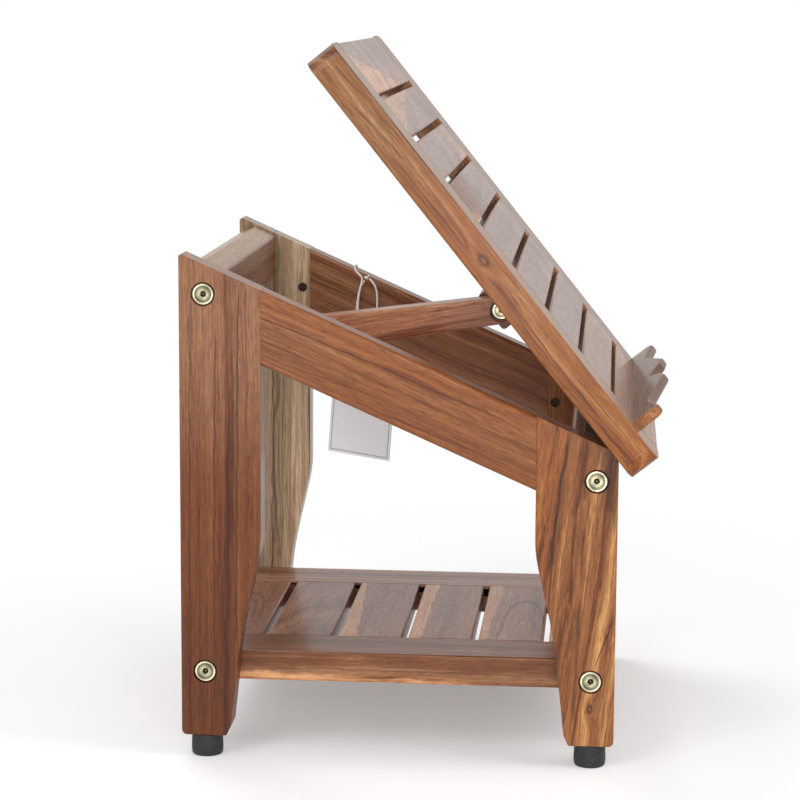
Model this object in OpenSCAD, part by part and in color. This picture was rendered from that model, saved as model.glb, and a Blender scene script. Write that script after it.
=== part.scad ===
// Slatted teak footstool with a tilting footrest panel held open by a prop arm.
// Millimetres. X runs from the high rear to the low front, Y from the near side to the far side.
// The origin is on the floor, below the centre of the box round the stool with its panel propped open.

/* [Side frames] */
// Length over the outer edges of the legs
frame_len = 328; // [300:1:400]
// Width over the outer faces of the legs
frame_w = 330; // [300:1:400]
// Height of the top edge at the rear
rear_h = 386; // [370:1:420]
// Fall of the top edge towards the front, in degrees
top_slope = 23.75; // [20:0.25:26]
// Thickness of legs and side rails
leg_t = 23; // [20:1:28]
// Width of a leg at the top
leg_w = 61; // [55:1:70]
// Width of a leg at the floor
leg_foot_w = 37; // [34:0.5:48]
// Height at which the taper of the legs begins
taper_high = 165; // [150:1:175]
// Height at which the taper eases off
taper_low = 97; // [90:1:120]
// Width of a leg where the taper eases off
taper_mid_w = 45.5; // [42:0.5:50]
// Upright height of the sloping side rails
rail_h = 56.3; // [50:0.1:62]
// Radius on the long edges of the side rails
rail_ease = 3; // [1:0.5:4]

/* [Crossbars] */
// Thickness of the crossbars along the stool
bar_t = 28; // [26:1:30]
// Height of the crossbars
bar_h = 40; // [36:1:44]
// Inset of the rear crossbar from the rear edge of the legs
bar_inset = 3; // [1:0.5:6]
// Depth of the rear crossbar below the top edge
bar_drop = 2; // [1:0.5:4]
// Fall of the bevel along the rear edge of the rear crossbar
bar_bevel = 3.5; // [1:0.5:6]

/* [Shelf] */
// Height of the top of the shelf
shelf_z = 78.6; // [70:0.1:95]
// Thickness of the shelf rails and of its end slats
shelf_t = 23; // [20:1:24]
// Width of the shelf rails
shelf_rail_w = 52; // [45:1:60]
// Gap between the shelf slats
shelf_gap = 5; // [4:0.5:8]
// Setback of the shelf ends from the edges of the legs
shelf_inset = 1.5; // [1:0.5:5]
// Thickness of the inner shelf slats
shelf_slat_t = 14; // [12:1:18]

/* [Panel] */
// Length of the panel
panel_len = 385; // [370:1:400]
// Overhang of the panel past each side frame
panel_over = 18; // [10:1:25]
// Thickness of the panel rails
panel_t = 24; // [22:1:28]
// Width of the side rails of the panel
panel_rail_w = 44; // [38:1:50]
// Width of the upper end rail of the panel
panel_end_w = 47.5; // [44:0.5:56]
// Width of the lower end rail of the panel
panel_foot_w = 51.5; // [48:0.5:56]
// Thickness of the slats
slat_t = 15; // [12:1:18]
// Gap between the slats
slat_gap = 5; // [4:0.5:8]
// Overhang of the panel in front of the hinge axis
panel_front = 22; // [18:0.5:24]
// Radius of the panel corners in plan
panel_corner = 13; // [5:1:16]
// Tilt of the panel when it is propped open, in degrees
tilt = 51.2; // [48:0.1:52]

/* [Lip] */
// Inset of the scalloped lip from the near edge of the panel
lip_near_in = 28; // [2:1:30]
// Inset of the scalloped lip from the far edge of the panel
lip_far_in = 2; // [2:1:30]
// Thickness of the lip
lip_t = 8; // [7:0.5:10]
// Distance of the lip from the low end of the panel
lip_back = 21.5; // [16:0.5:24]
// Height of the two middle lobes
lip_h = 30; // [27:0.5:34]
// Height of the outer lobes
lip_end_h = 23.5; // [20:0.5:25]
// Height of the notches
lip_notch_h = 15.5; // [12:0.5:17]
// Radius on the free edges of the lip
lip_edge = 2.5; // [1:0.5:3]

/* [Prop] */
// Distance from the hinge axis to the prop bolt, along the panel
prop_along = 123.6; // [118:0.1:130]
// Depth of the prop bolt below the hinge axis, square to the panel
prop_deep = 15.9; // [14:0.1:18]
// Length of the arm from its bolt to its foot dowel
arm_len = 168; // [165:0.5:170]
// Fall of the arm from its bolt to its foot when propped open, in degrees
arm_fall = 8.25; // [7.5:0.05:9]
// Thickness of the arm
arm_t = 22; // [18:1:24]
// Height of the arm at its bolt
arm_head_h = 21.5; // [21.5:0.5:24]
// Height of the arm at its foot
arm_foot_h = 28; // [24:0.5:28]
// Diameter of the foot dowel
dowel_d = 8; // [6:0.5:8]
// Thickness of the notched racks
rack_t = 14; // [12:1:18]
// Distance between the two notches
rack_pitch = 13; // [13:0.5:15]
// Length of the block under the panel
block_len = 34.5; // [32:0.5:38]
// Width of the block under the panel
block_w = 30; // [28:1:36]
// Reach of the block below the hinge axis
block_deep = 27; // [26:0.5:29]

/* [Hardware] */
// Head diameter of the frame bolts
bolt_head_d = 16.8; // [15:0.1:18]
// Height of the bolt heads
bolt_head_h = 3; // [2:0.5:4]
// Diameter of the frame bolts
bolt_d = 6; // [5:0.5:7]
// Length of the frame bolts under the head
bolt_len = 48; // [40:1:55]
// Distance of the bolts from the outer edge of a leg
bolt_inset = 18; // [15:0.5:20]
// Distance of the bolts of the front crossbar from the outer edge of a leg
front_bolt_inset = 16; // [15:0.5:20]
// Diameter of the prop bolt
pivot_d = 8; // [6:0.5:8]
// Head diameter of the prop bolt
pivot_head_d = 15; // [13:0.5:16]
// Width of a hinge along its pin
hinge_w = 44; // [36:1:56]
// Width of a hinge leaf
leaf_w = 22; // [18:1:24]
// Thickness of a hinge leaf
leaf_t = 1.5; // [1:0.1:2]
// Outer diameter of the hinge knuckles
knuckle_d = 5.2; // [5:0.2:6]
// Diameter of the hinge pins
pin_d = 2.4; // [2:0.1:3]
// Distance of each hinge from the inner face of its leg
hinge_in = 34; // [28:1:60]
// Diameter of the feet
foot_d = 24.4; // [22:0.1:28]
// Height of the feet
foot_h = 17; // [14:0.5:22]
// Distance of the feet from the outer edge of a leg
foot_in = 17.8; // [16:0.1:20]
// Diameter of the foot stems
stem_d = 8; // [6:0.5:8]

/* [Tag] */
// Width of the hang tag
tag_w = 59; // [50:1:70]
// Height of the hang tag
tag_h = 89; // [80:1:92]
// Diameter of the string
string_d = 1.8; // [1.6:0.1:1.8]

/* [Hidden] */
$fn = 48;

// Colours
teak = [0.62, 0.38, 0.22];
teak_dark = [0.45, 0.28, 0.18];
teak_pale = [0.72, 0.62, 0.54];
zinc = [0.78, 0.74, 0.58];
steel = [0.68, 0.68, 0.7];
rubber = [0.13, 0.13, 0.14];
cotton = [0.93, 0.92, 0.88];

// Clearances
joint_gap = 0.2;      // round a tenon in its mortise
seat_gap = 0.3;       // between a moving piece and what it rests on
run_gap = 0.05;       // round a shaft that turns or slides in its bore, on the radius
arc_step = 9;         // degrees between points on an arc of an outline
cut = 1;              // how far a cutting tool runs past the face that it cuts

// Side frames
function top_z(x) = rear_h - x * tan(top_slope);
leg_z0 = foot_h + seat_gap;
leg_top_round = 2;
leg_front_round = 12; // lets the low end of the tilted panel pass the front leg
leg_bottom_round = 4;
leg_toe_round = 11;
leg_toe_cut = 3;      // how far the toe of a leg is cut back at the floor
leg_toe_h = 8;        // height of that cut
taper_round_high = 100;
taper_round_low = 300;
tenon_len = 18;
tenon_t = 8;
tenon_h = 32;
lock_in = 6.5;        // tenon screws, from the joint line into the leg
lock_drop = 36;       // tenon screws, below the top edge
lock_head_r = 4;
lock_sunk = 4;
lock_r = 2;
lock_len = 13;

// Crossbars
bar_len = frame_w - 2 * leg_t;
axis_x = frame_len - 5.5;
knuckle_r = knuckle_d / 2;
axis_z = top_z(axis_x) - knuckle_r / cos(top_slope);
rear_bar_x = bar_inset;
front_bar_x = axis_x - knuckle_r - 0.4 - bar_t;
rear_bar_z = top_z(rear_bar_x + bar_t) - bar_drop - bar_h + 5;
front_bar_z = top_z(front_bar_x + bar_t) - knuckle_d / cos(top_slope) - bar_h + 2;
bar_crest = 11;       // from the rear face of the rear crossbar to the crest of its top
bar_round = 3;

// Shelf
shelf_count = 6;
shelf_len = frame_len - 2 * shelf_inset;
shelf_slat_w = (shelf_len - (shelf_count - 1) * shelf_gap) / shelf_count;
shelf_span = frame_w - 2 * leg_t - 2 * shelf_rail_w;
slat_tenon_len = 12;
slat_tenon_t = 7;
slat_shoulder = 5;    // from the edge of a slat to its tenon
slat_ease = 1.5;

// Panel, in its own frame: origin on the hinge axis, +X to the low end, +Z out of its top face
slat_count = 7;
panel_w = frame_w + 2 * panel_over;
panel_end_in = 0.5;   // from the upper ends of the side rails to the upper end rail
panel_x1 = panel_front;
panel_x0 = panel_front - panel_len;
panel_z0 = knuckle_r;
panel_z1 = knuckle_r + panel_t;
slat_span = panel_w - 2 * panel_rail_w;
slat_w = (panel_len - panel_end_in - panel_end_w - panel_foot_w - (slat_count + 1) * slat_gap) / slat_count;
slat_z0 = panel_z1 - slat_t;
panel_ease = 2;

// Lip
lip_len = panel_w - lip_near_in - lip_far_in;
lip_off = (lip_near_in - lip_far_in) / 2;
lip_x1 = panel_x1 - lip_back;
lip_z0 = panel_z1;
lip_rise_at = 26;     // from the middle of the lip to the shoulder of a middle lobe
lip_tip_at = 43;      // from the middle of the lip to the tip of a middle lobe
lip_notch_at = 114;   // from the middle of the lip to an outer notch
lip_mid_h = 17.5;     // height of the middle notch

// Prop
pivot_x = axis_x - prop_along * cos(tilt) - prop_deep * sin(tilt);
pivot_z = axis_z + prop_along * sin(tilt) - prop_deep * cos(tilt);
foot_x = pivot_x - arm_len * cos(arm_fall);
foot_z = pivot_z - arm_len * sin(arm_fall);
arm_y0 = frame_w / 2 - arm_t / 2;
arm_y1 = frame_w / 2 + arm_t / 2;
rack_gap = 1.5;       // between the arm and each rack
washer_t = 1;
washer_gap = 0.2;
block_y0 = arm_y1 + washer_t + 2 * washer_gap;
block_bolt_in = 15.5; // from the low end of the block to the prop bolt
block_x0 = -(prop_along + block_len - block_bolt_in);
pivot_recess_r = pivot_head_d / 2 + 1.6;
pivot_recess = 6;
pivot_head_h = 4;
pivot_grip = 24;      // length of the prop bolt inside the block
dowel_r = dowel_d / 2;
dowel_over = 2;       // dowel past the outer face of each rack
seat_r = dowel_r + seat_gap;
rack_floor = foot_z - seat_r;
rack_under = 17;      // wood below the notches
rack_front = 15;      // from the front notch to the front of a rack
rack_ramp = [11, 13]; // from the rear notch to the top of the ramp behind it
screw_r = 2;
screw_head_r = 4;

// Feet
stem_len = 28;
stem_in_pad = 9;
foot_insert_len = 22;
foot_insert_r = stem_d / 2 + 2.5;

// Bolts
bolt_r = bolt_d / 2;
bolt_sunk = 1.2;      // top of the head below the face of the leg
head_ease = 0.8;      // bevel round the top of a bolt head
dish_r = 3.6;         // shallow dish round the socket of a bolt head
dish_deep = 0.4;
socket_d = 5;         // hexagon socket, across its corners
recess_r = bolt_head_d / 2 + 0.7;
recess = bolt_head_h + bolt_sunk;
insert_r = bolt_r + 2;
insert_len = 15;
insert_sunk = 0.5;
bar_bolt_rise = bar_h / 2;
front_bolt_drop = 1.4; // bolts of the front crossbar, below the middle of its rear face

// Origin of the finished part
lip_pts = rounded(lip_outline());
lip_peak = max([for (p = lip_pts) p[1]]);
reach_x = axis_x + (lip_x1 - lip_edge) * cos(tilt) + (lip_z0 + lip_peak - lip_edge) * sin(tilt) + lip_edge;
origin_x = reach_x / 2;

// Outline helpers

function unit(v) = v / norm(v);

// Points of an arc that rounds the corner b between a and c with radius r
function corner_arc(a, b, c, r) =
    let (
        u = unit(a - b), v = unit(c - b), half = acos(u * v) / 2,
        centre = b + unit(u + v) * r / sin(half),
        p = b + u * r / tan(half) - centre, q = b + v * r / tan(half) - centre,
        from = atan2(p[1], p[0]), turn = atan2(p[0] * q[1] - p[1] * q[0], p * q),
        steps = max(3, ceil(abs(turn) / arc_step))
    )
    [for (k = [0:steps]) centre + r * [cos(from + turn * k / steps), sin(from + turn * k / steps)]];

// An outline from corners given as [x, y, radius]
function rounded(corners) =
    let (n = len(corners))
    [for (i = [0:n - 1])
        let (
            a = corners[(i + n - 1) % n], b = corners[i], c = corners[(i + 1) % n],
            flat = [b[0], b[1]]
        )
        each (b[2] > 0 ? corner_arc([a[0], a[1]], flat, [c[0], c[1]], b[2]) : [flat])];

function arc_points(centre, r, from, to, steps) =
    [for (k = [0:steps]) let (a = from + (to - from) * k / steps) centre + r * [cos(a), sin(a)]];

// The near half of the lip, mirrored for the far half: along the lip, then height
function lip_half() = [
    [lip_rise_at, lip_h - 2, 18],
    [lip_tip_at, lip_h + 0.6, 16],
    [lip_notch_at, lip_notch_h - 0.7, 4],
    [lip_len / 2, lip_end_h, 9],
    [lip_len / 2, 0, 0]
];

function lip_outline() = concat(
    [[0, lip_mid_h - 0.8, 5]],
    lip_half(),
    [for (i = [len(lip_half()) - 1:-1:0]) [-lip_half()[i][0], lip_half()[i][1], lip_half()[i][2]]]
);

// Solid helpers

// Moves a piece from the frame's own corner to the origin of the part
module place() {
    translate([-origin_x, -frame_w / 2, 0]) children();
}

module on_panel() {
    place() translate([axis_x, 0, axis_z]) rotate([0, tilt, 0]) children();
}

module on_prop() {
    place() translate([pivot_x, 0, pivot_z]) rotate([0, -arm_fall, 0]) children();
}

// Near side as it is, far side mirrored
module side(far) {
    if (far) {
        translate([0, frame_w, 0]) mirror([0, 1, 0]) children();
    } else {
        children();
    }
}

// Rear end as it is, front end mirrored
module end(front) {
    if (front) {
        translate([frame_len, 0, 0]) mirror([1, 0, 0]) children();
    } else {
        children();
    }
}

// An outline drawn in X and Z, made thick along Y
module upright(points, y0, thick) {
    translate([0, y0 + thick, 0]) rotate([90, 0, 0]) linear_extrude(thick) polygon(points);
}

// A rectangle with round corners
module soft_rect(w, h, r) {
    translate([r, 0]) square([w - 2 * r, h]);
    translate([0, r]) square([w, h - 2 * r]);
    for (x = [r, w - r], y = [r, h - r]) translate([x, y]) circle(r);
}

// A bar along X with its long edges eased
module bar_x(size, r) {
    rotate([90, 0, 90]) linear_extrude(size[0]) soft_rect(size[1], size[2], r);
}

// A bar along Y with its long edges eased
module bar_y(size, r) {
    translate([0, size[1], 0]) rotate([90, 0, 0]) linear_extrude(size[1]) soft_rect(size[0], size[2], r);
}

// A round rod along +Y from the origin
module rod_y(r, length) {
    rotate([-90, 0, 0]) cylinder(r = r, h = length);
}

// A tube along +Y from the origin
module sleeve_y(r, bore, length) {
    difference() {
        rod_y(r, length);
        translate([0, -cut, 0]) rod_y(bore, length + 2 * cut);
    }
}

// A countersunk wood screw whose head is flush with Z = 0 and whose shank points down
module flat_screw(head_r, r, length, grow = 0) {
    head = head_r - r;
    translate([0, 0, -head]) cylinder(r1 = r + grow, r2 = head_r + grow, h = head);
    translate([0, 0, -length - grow]) cylinder(r = r + grow, h = length + grow - head + 0.01);
}

// Side frames

function leg_outline(top_outer, top_inner, top_round) = [
    [0, leg_z0, leg_bottom_round],
    [leg_foot_w - leg_toe_cut, leg_z0, 0.5],
    [leg_foot_w + 0.7, leg_z0 + leg_toe_h, leg_toe_round],
    [taper_mid_w, taper_low, taper_round_low],
    [leg_w, taper_high, taper_round_high],
    [leg_w, top_inner, 0],
    [0, top_outer, top_round]
];

// Middle of a side rail where it meets a leg
function joint_z(x) = top_z(x) - rail_h / 2;

// Where a frame bolt stands on a leg, and how far up the leg
function bar_bolt_z(front) = (front ? front_bar_z - front_bolt_drop : rear_bar_z) + bar_bolt_rise;
shelf_bolt_z = shelf_z - shelf_t / 2;

// The two bolts of a leg: distance from its outer edge, then height
function leg_bolts(front) = [
    [front ? front_bolt_inset : bolt_inset, bar_bolt_z(front)],
    [bolt_inset, shelf_bolt_z]
];

module tenon_hole(x0, z) {
    translate([x0 - joint_gap, (leg_t - tenon_t) / 2 - joint_gap, z - tenon_h / 2 - joint_gap])
        cube([tenon_len + joint_gap + cut, tenon_t + 2 * joint_gap, tenon_h + 2 * joint_gap]);
}

// Counterbore and shank hole of a tenon screw, from the inner face of a leg
module lock_hole(z) {
    translate([leg_w - lock_in, leg_t - lock_sunk, z]) rod_y(lock_head_r, lock_sunk + cut);
    translate([leg_w - lock_in, leg_t - lock_sunk - lock_len - run_gap, z])
        rod_y(lock_r + run_gap, lock_len + cut);
}

module leg(front, far) {
    outer = front ? top_z(frame_len) : top_z(0);
    inner = front ? top_z(frame_len - leg_w) : top_z(leg_w);
    round_r = front ? leg_front_round : leg_top_round;
    lock_z = (front ? top_z(frame_len - leg_w + lock_in) : top_z(leg_w - lock_in)) - lock_drop;
    color(front ? teak : teak_dark) place() side(far) end(front) difference() {
        upright(rounded(leg_outline(outer, inner, round_r)), 0, leg_t);
        tenon_hole(leg_w - tenon_len, front ? joint_z(frame_len - leg_w) : joint_z(leg_w));
        lock_hole(lock_z);
        for (b = leg_bolts(front)) {
            translate([b[0], -cut, b[1]]) rod_y(recess_r, recess + cut);
            translate([b[0], -cut, b[1]]) rod_y(bolt_r + joint_gap, leg_t + 2 * cut);
        }
        translate([foot_in, leg_t / 2, leg_z0 - cut]) cylinder(r = foot_insert_r, h = foot_insert_len + cut);
        translate([foot_in, leg_t / 2, leg_z0]) cylinder(r = stem_d / 2 + joint_gap, h = stem_len + 4);
    }
}

module rail(far) {
    slope_len = frame_len / cos(top_slope);
    thick = rail_h * cos(top_slope);
    color(teak) place() side(far) difference() {
        union() {
            intersection() {
                translate([0, 0, rear_h]) rotate([0, top_slope, 0]) translate([0, 0, -thick])
                    bar_x([slope_len, leg_t, thick], rail_ease);
                translate([leg_w, -cut, 0]) cube([frame_len - 2 * leg_w, leg_t + 2 * cut, rear_h]);
            }
            for (x = [leg_w - tenon_len, frame_len - leg_w])
                translate([x, (leg_t - tenon_t) / 2, (x < leg_w ? joint_z(leg_w) : joint_z(x)) - tenon_h / 2])
                    cube([tenon_len, tenon_t, tenon_h]);
        }
        for (x = [leg_w - lock_in, frame_len - leg_w + lock_in])
            translate([x, 0, top_z(x) - lock_drop]) rod_y(lock_r + run_gap, leg_t);
    }
}

// Crossbars

module bar_bolt_holes(x, z) {
    for (far = [false, true]) side(far) {
        translate([x, leg_t - cut, z]) rod_y(insert_r, insert_len + insert_sunk + cut);
        translate([x, leg_t, z]) rod_y(bolt_r + joint_gap, bolt_len - leg_t + recess + 2);
    }
}

function rear_bar_outline() = [
    [rear_bar_x, rear_bar_z, bar_round],
    [rear_bar_x + bar_t, rear_bar_z, bar_round],
    [rear_bar_x + bar_t, top_z(rear_bar_x + bar_t) - bar_drop, bar_round],
    [rear_bar_x + bar_crest, top_z(rear_bar_x + bar_crest) - bar_drop, bar_round],
    [rear_bar_x, top_z(rear_bar_x + bar_crest) - bar_drop - bar_bevel, bar_round]
];

module crossbar_rear() {
    color(teak_pale) place() difference() {
        upright(rounded(rear_bar_outline()), leg_t, bar_len);
        bar_bolt_holes(bolt_inset, bar_bolt_z(false));
        for (far = [false, true]) side(far) rack_screw_places()
            rack_screw(run_gap);
    }
}

function front_bar_outline() = [
    [front_bar_x, front_bar_z, bar_round],
    [front_bar_x + bar_t, front_bar_z, bar_round],
    [front_bar_x + bar_t, top_z(front_bar_x + bar_t) - knuckle_d / cos(top_slope), 0],
    [front_bar_x, top_z(front_bar_x) - knuckle_d / cos(top_slope), bar_round]
];

module crossbar_front() {
    color(teak) place() difference() {
        upright(rounded(front_bar_outline()), leg_t, bar_len);
        bar_bolt_holes(frame_len - front_bolt_inset, bar_bolt_z(true));
        lower_leaf_place() leaf_screws(run_gap);
    }
}

// Shelf

module shelf_rail(far) {
    color(teak_dark) place() side(far) difference() {
        translate([shelf_inset, leg_t, shelf_z - shelf_t])
            bar_x([shelf_len, shelf_rail_w, shelf_t], slat_ease);
        for (i = [0:shelf_count - 1])
            translate([
                shelf_slat_x(i) + slat_shoulder - joint_gap,
                leg_t + shelf_rail_w - slat_tenon_len - joint_gap,
                shelf_tenon_z - joint_gap
            ])
                cube([
                    shelf_slat_w - 2 * slat_shoulder + 2 * joint_gap,
                    slat_tenon_len + joint_gap + cut,
                    slat_tenon_t + 2 * joint_gap
                ]);
        for (x = [bolt_inset, frame_len - bolt_inset]) {
            translate([x, leg_t - cut, shelf_bolt_z]) rod_y(insert_r, insert_len + insert_sunk + cut);
            translate([x, leg_t, shelf_bolt_z]) rod_y(bolt_r + joint_gap, bolt_len - leg_t + recess + 2);
        }
    }
}

function shelf_slat_x(i) = shelf_inset + i * (shelf_slat_w + shelf_gap);
shelf_tenon_z = shelf_z - (shelf_slat_t + slat_tenon_t) / 2;

// The two end slats are as thick as the shelf rails
module shelf_slat(i) {
    thick = i == 0 || i == shelf_count - 1 ? shelf_t : shelf_slat_t;
    color(teak_pale) place() {
        translate([shelf_slat_x(i), leg_t + shelf_rail_w, shelf_z - thick])
            bar_y([shelf_slat_w, shelf_span, thick], slat_ease);
        for (y = [leg_t + shelf_rail_w - slat_tenon_len, leg_t + shelf_rail_w + shelf_span])
            translate([shelf_slat_x(i) + slat_shoulder, y, shelf_tenon_z])
                cube([shelf_slat_w - 2 * slat_shoulder, slat_tenon_len, slat_tenon_t]);
    }
}

// Frame hardware

// A flat bolt head with a bevelled rim and a hexagon socket in a shallow dish
module bolt_head(r, height) {
    rotate([-90, 0, 0]) difference() {
        union() {
            cylinder(r1 = r - head_ease, r2 = r, h = head_ease);
            translate([0, 0, head_ease]) cylinder(r = r, h = height - head_ease);
        }
        translate([0, 0, -cut]) cylinder(r = dish_r, h = cut + dish_deep);
        translate([0, 0, -cut]) cylinder(d = socket_d, h = cut + 2, $fn = 6);
    }
}

// One frame bolt along +Y, with the top of its head at the origin
module frame_bolt() {
    bolt_head(bolt_head_d / 2, bolt_head_h);
    translate([0, bolt_head_h - 0.5, 0]) rod_y(bolt_r, bolt_len + 0.5);
}

module bolt_places() {
    for (far = [false, true], front = [false, true]) side(far) end(front)
        for (b = leg_bolts(front)) translate([b[0], 0, b[1]]) children();
}

module frame_bolts() {
    color(zinc) place() bolt_places() translate([0, bolt_sunk, 0]) frame_bolt();
}

module bolt_inserts() {
    color(zinc) place() bolt_places()
        translate([0, leg_t + insert_sunk, 0]) sleeve_y(insert_r - run_gap, bolt_r + run_gap, insert_len);
}

module tenon_screws() {
    color(steel) place() for (far = [false, true], x = [leg_w - lock_in, frame_len - leg_w + lock_in])
        side(far) translate([x, leg_t - lock_sunk, top_z(x) - lock_drop]) rotate([-90, 0, 0]) {
            translate([0, 0, 0.02]) cylinder(r = lock_head_r - 0.5, h = 1.8);
            translate([0, 0, -lock_len]) cylinder(r = lock_r, h = lock_len + 0.5);
        }
}

// Racks that hold the foot dowel of the prop arm

rack_y0 = arm_y0 - rack_gap - rack_t;
rack_screw_bite = 18; // length of a screw inside the crossbar
rack_screw_len = 38;
rack_screw_top = rear_bar_z - rack_screw_len + rack_screw_bite;
rack_screw_in = 8;    // from the faces of the crossbar

module rack_screw_places() {
    for (x = [rear_bar_x + rack_screw_in, rear_bar_x + bar_t - rack_screw_in])
        translate([x, rack_y0 + rack_t / 2, 0]) children();
}

// One screw of a rack, from below, with its head up inside the rack
module rack_screw(grow = 0) {
    translate([0, 0, rack_screw_top]) rotate([180, 0, 0])
        flat_screw(screw_head_r, screw_r, rack_screw_len, grow);
}

// Two notches with upright rear walls, cut back where the dowel leaves them along its path
function rack_outline() = [
    [rear_bar_x + 2, rear_bar_z, 0],
    [rear_bar_x + bar_t + 7, rear_bar_z, 3],
    [foot_x - rack_pitch - rack_ramp[0], foot_z + rack_ramp[1], 10],
    [foot_x - rack_pitch - seat_r - 0.7, foot_z + 6, 1],
    [foot_x - rack_pitch - seat_r - 0.7, rack_floor, 2.5],
    [foot_x - rack_pitch + seat_r, rack_floor, 2],
    [foot_x - rack_pitch + seat_r, foot_z + 0.6, 0.5],
    [foot_x - seat_r - 3.2, foot_z + 0.6, 0.5],
    [foot_x - seat_r - 0.7, foot_z - 1.6, 0.5],
    [foot_x - seat_r - 0.7, rack_floor, 1],
    [foot_x + seat_r + 0.3, rack_floor, 2.5],
    [foot_x + seat_r + 1.5, foot_z - 0.5, 1.5],
    [foot_x + rack_front, foot_z - 0.5, 5],
    [foot_x + rack_front, rack_floor - rack_under, 8],
    [rear_bar_x + 2, rack_floor - rack_under + 6, 4]
];

module prop_rack(far) {
    color(teak) place() side(far) difference() {
        upright(rounded(rack_outline()), rack_y0, rack_t);
        rack_screw_places() {
            rack_screw(run_gap);
            translate([0, 0, rack_floor - rack_under - cut])
                cylinder(r = screw_head_r + run_gap, h = rack_screw_top - rack_floor + rack_under + cut + 0.01);
        }
    }
}

module rack_screws() {
    color(steel) place() for (far = [false, true]) side(far) rack_screw_places() rack_screw();
}

// Hinges: knuckles share one pin, the middle knuckle belongs to the lower leaf

knuckle_gap = 0.3;
mid_knuckle = hinge_w / 3;
leaf_screw_r = 1.5;
leaf_screw_head_r = 2.9;
leaf_screw_len = 14;
leaf_root = 1.2;      // from the axis to the start of the flat of a leaf

module hinge_places() {
    for (far = [false, true]) side(far) translate([0, leg_t + hinge_in, 0]) children();
}

module lower_leaf_place() {
    translate([axis_x, 0, axis_z]) rotate([0, top_slope, 0]) hinge_places() children();
}

// Screws of the lower leaf, from its top face down into the crossbar
module leaf_screws(grow = 0) {
    for (y = [hinge_w * 0.2, hinge_w * 0.5, hinge_w * 0.8])
        translate([-leaf_w * 0.6, y, -knuckle_r + leaf_t])
            flat_screw(leaf_screw_head_r, leaf_screw_r, leaf_screw_len, grow);
}

module hinge_leaves_lower() {
    color(steel) place() lower_leaf_place() difference() {
        union() {
            translate([-leaf_w, 0, -knuckle_r]) cube([leaf_w - knuckle_r - 0.4, hinge_w, leaf_t]);
            translate([-leaf_w, mid_knuckle + knuckle_gap, -knuckle_r])
                cube([leaf_w, mid_knuckle - 2 * knuckle_gap, leaf_t]);
            translate([0, mid_knuckle + knuckle_gap, 0]) rod_y(knuckle_r, mid_knuckle - 2 * knuckle_gap);
        }
        translate([0, -cut, 0]) rod_y(pin_d / 2 + run_gap, hinge_w + 2 * cut);
        leaf_screws(run_gap);
    }
}

module hinge_pins() {
    color(steel) place() lower_leaf_place() rod_y(pin_d / 2, hinge_w);
}

module hinge_screws_lower() {
    color(steel) place() lower_leaf_place() leaf_screws();
}

// Screws of the upper leaf, from its lower face up into the end rail
module upper_leaf_screws(grow = 0) {
    mirror([0, 0, 1]) leaf_screws(grow);
}

module hinge_leaves_upper() {
    color(steel) on_panel() hinge_places() difference() {
        union() {
            translate([-leaf_w, 0, knuckle_r - leaf_t]) cube([leaf_w - knuckle_r - 0.4, hinge_w, leaf_t]);
            for (y = [0, 2 * mid_knuckle]) {
                translate([-leaf_w, y, knuckle_r - leaf_t]) cube([leaf_w, mid_knuckle, leaf_t]);
                translate([0, y, 0]) rod_y(knuckle_r, mid_knuckle);
            }
        }
        translate([0, -cut, 0]) rod_y(pin_d / 2 + run_gap, hinge_w + 2 * cut);
        upper_leaf_screws(run_gap);
    }
}

module hinge_screws_upper() {
    color(steel) on_panel() hinge_places() upper_leaf_screws();
}

// Feet

module foot_place(front, far) {
    place() side(far) end(front) translate([foot_in, leg_t / 2, 0]) children();
}

foot_profile = rounded([
    [0, 0, 0], [foot_d / 2 - 0.6, 0, 2], [foot_d / 2, 5, 3], [foot_d / 2 - 0.5, foot_h, 1], [0, foot_h, 0]
]);

module foot_pad(front, far) {
    color(rubber) foot_place(front, far) difference() {
        rotate_extrude() polygon(foot_profile);
        translate([0, 0, foot_h - stem_in_pad]) cylinder(r = stem_d / 2, h = stem_in_pad + cut);
    }
}

module foot_stem(front, far) {
    color(steel) foot_place(front, far)
        translate([0, 0, foot_h - stem_in_pad]) cylinder(r = stem_d / 2, h = stem_in_pad + stem_len);
}

module foot_inserts() {
    color(zinc) for (far = [false, true], front = [false, true]) foot_place(front, far)
        translate([0, 0, leg_z0]) difference() {
            cylinder(r = foot_insert_r - run_gap, h = foot_insert_len);
            translate([0, 0, -cut]) cylinder(r = stem_d / 2 + run_gap, h = foot_insert_len + 2 * cut);
        }
}

// Panel

function slat_x(i) = panel_x0 + panel_end_in + panel_end_w + slat_gap + i * (slat_w + slat_gap);
slat_tenon_z = panel_z1 - (slat_t + slat_tenon_t) / 2;

// A tenon or its mortise, from x over a width, reaching out of y by the tenon's length
module panel_tenon(x, width, y, grow) {
    translate([x + slat_shoulder - grow, y - grow, slat_tenon_z - grow])
        cube([width - 2 * slat_shoulder + 2 * grow, slat_tenon_len + 2 * grow, slat_tenon_t + 2 * grow]);
}

function panel_plan() = [
    [panel_x0, 0, panel_corner], [panel_x1, 0, panel_corner],
    [panel_x1, panel_rail_w, 0], [panel_x0, panel_rail_w, 0]
];

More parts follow.
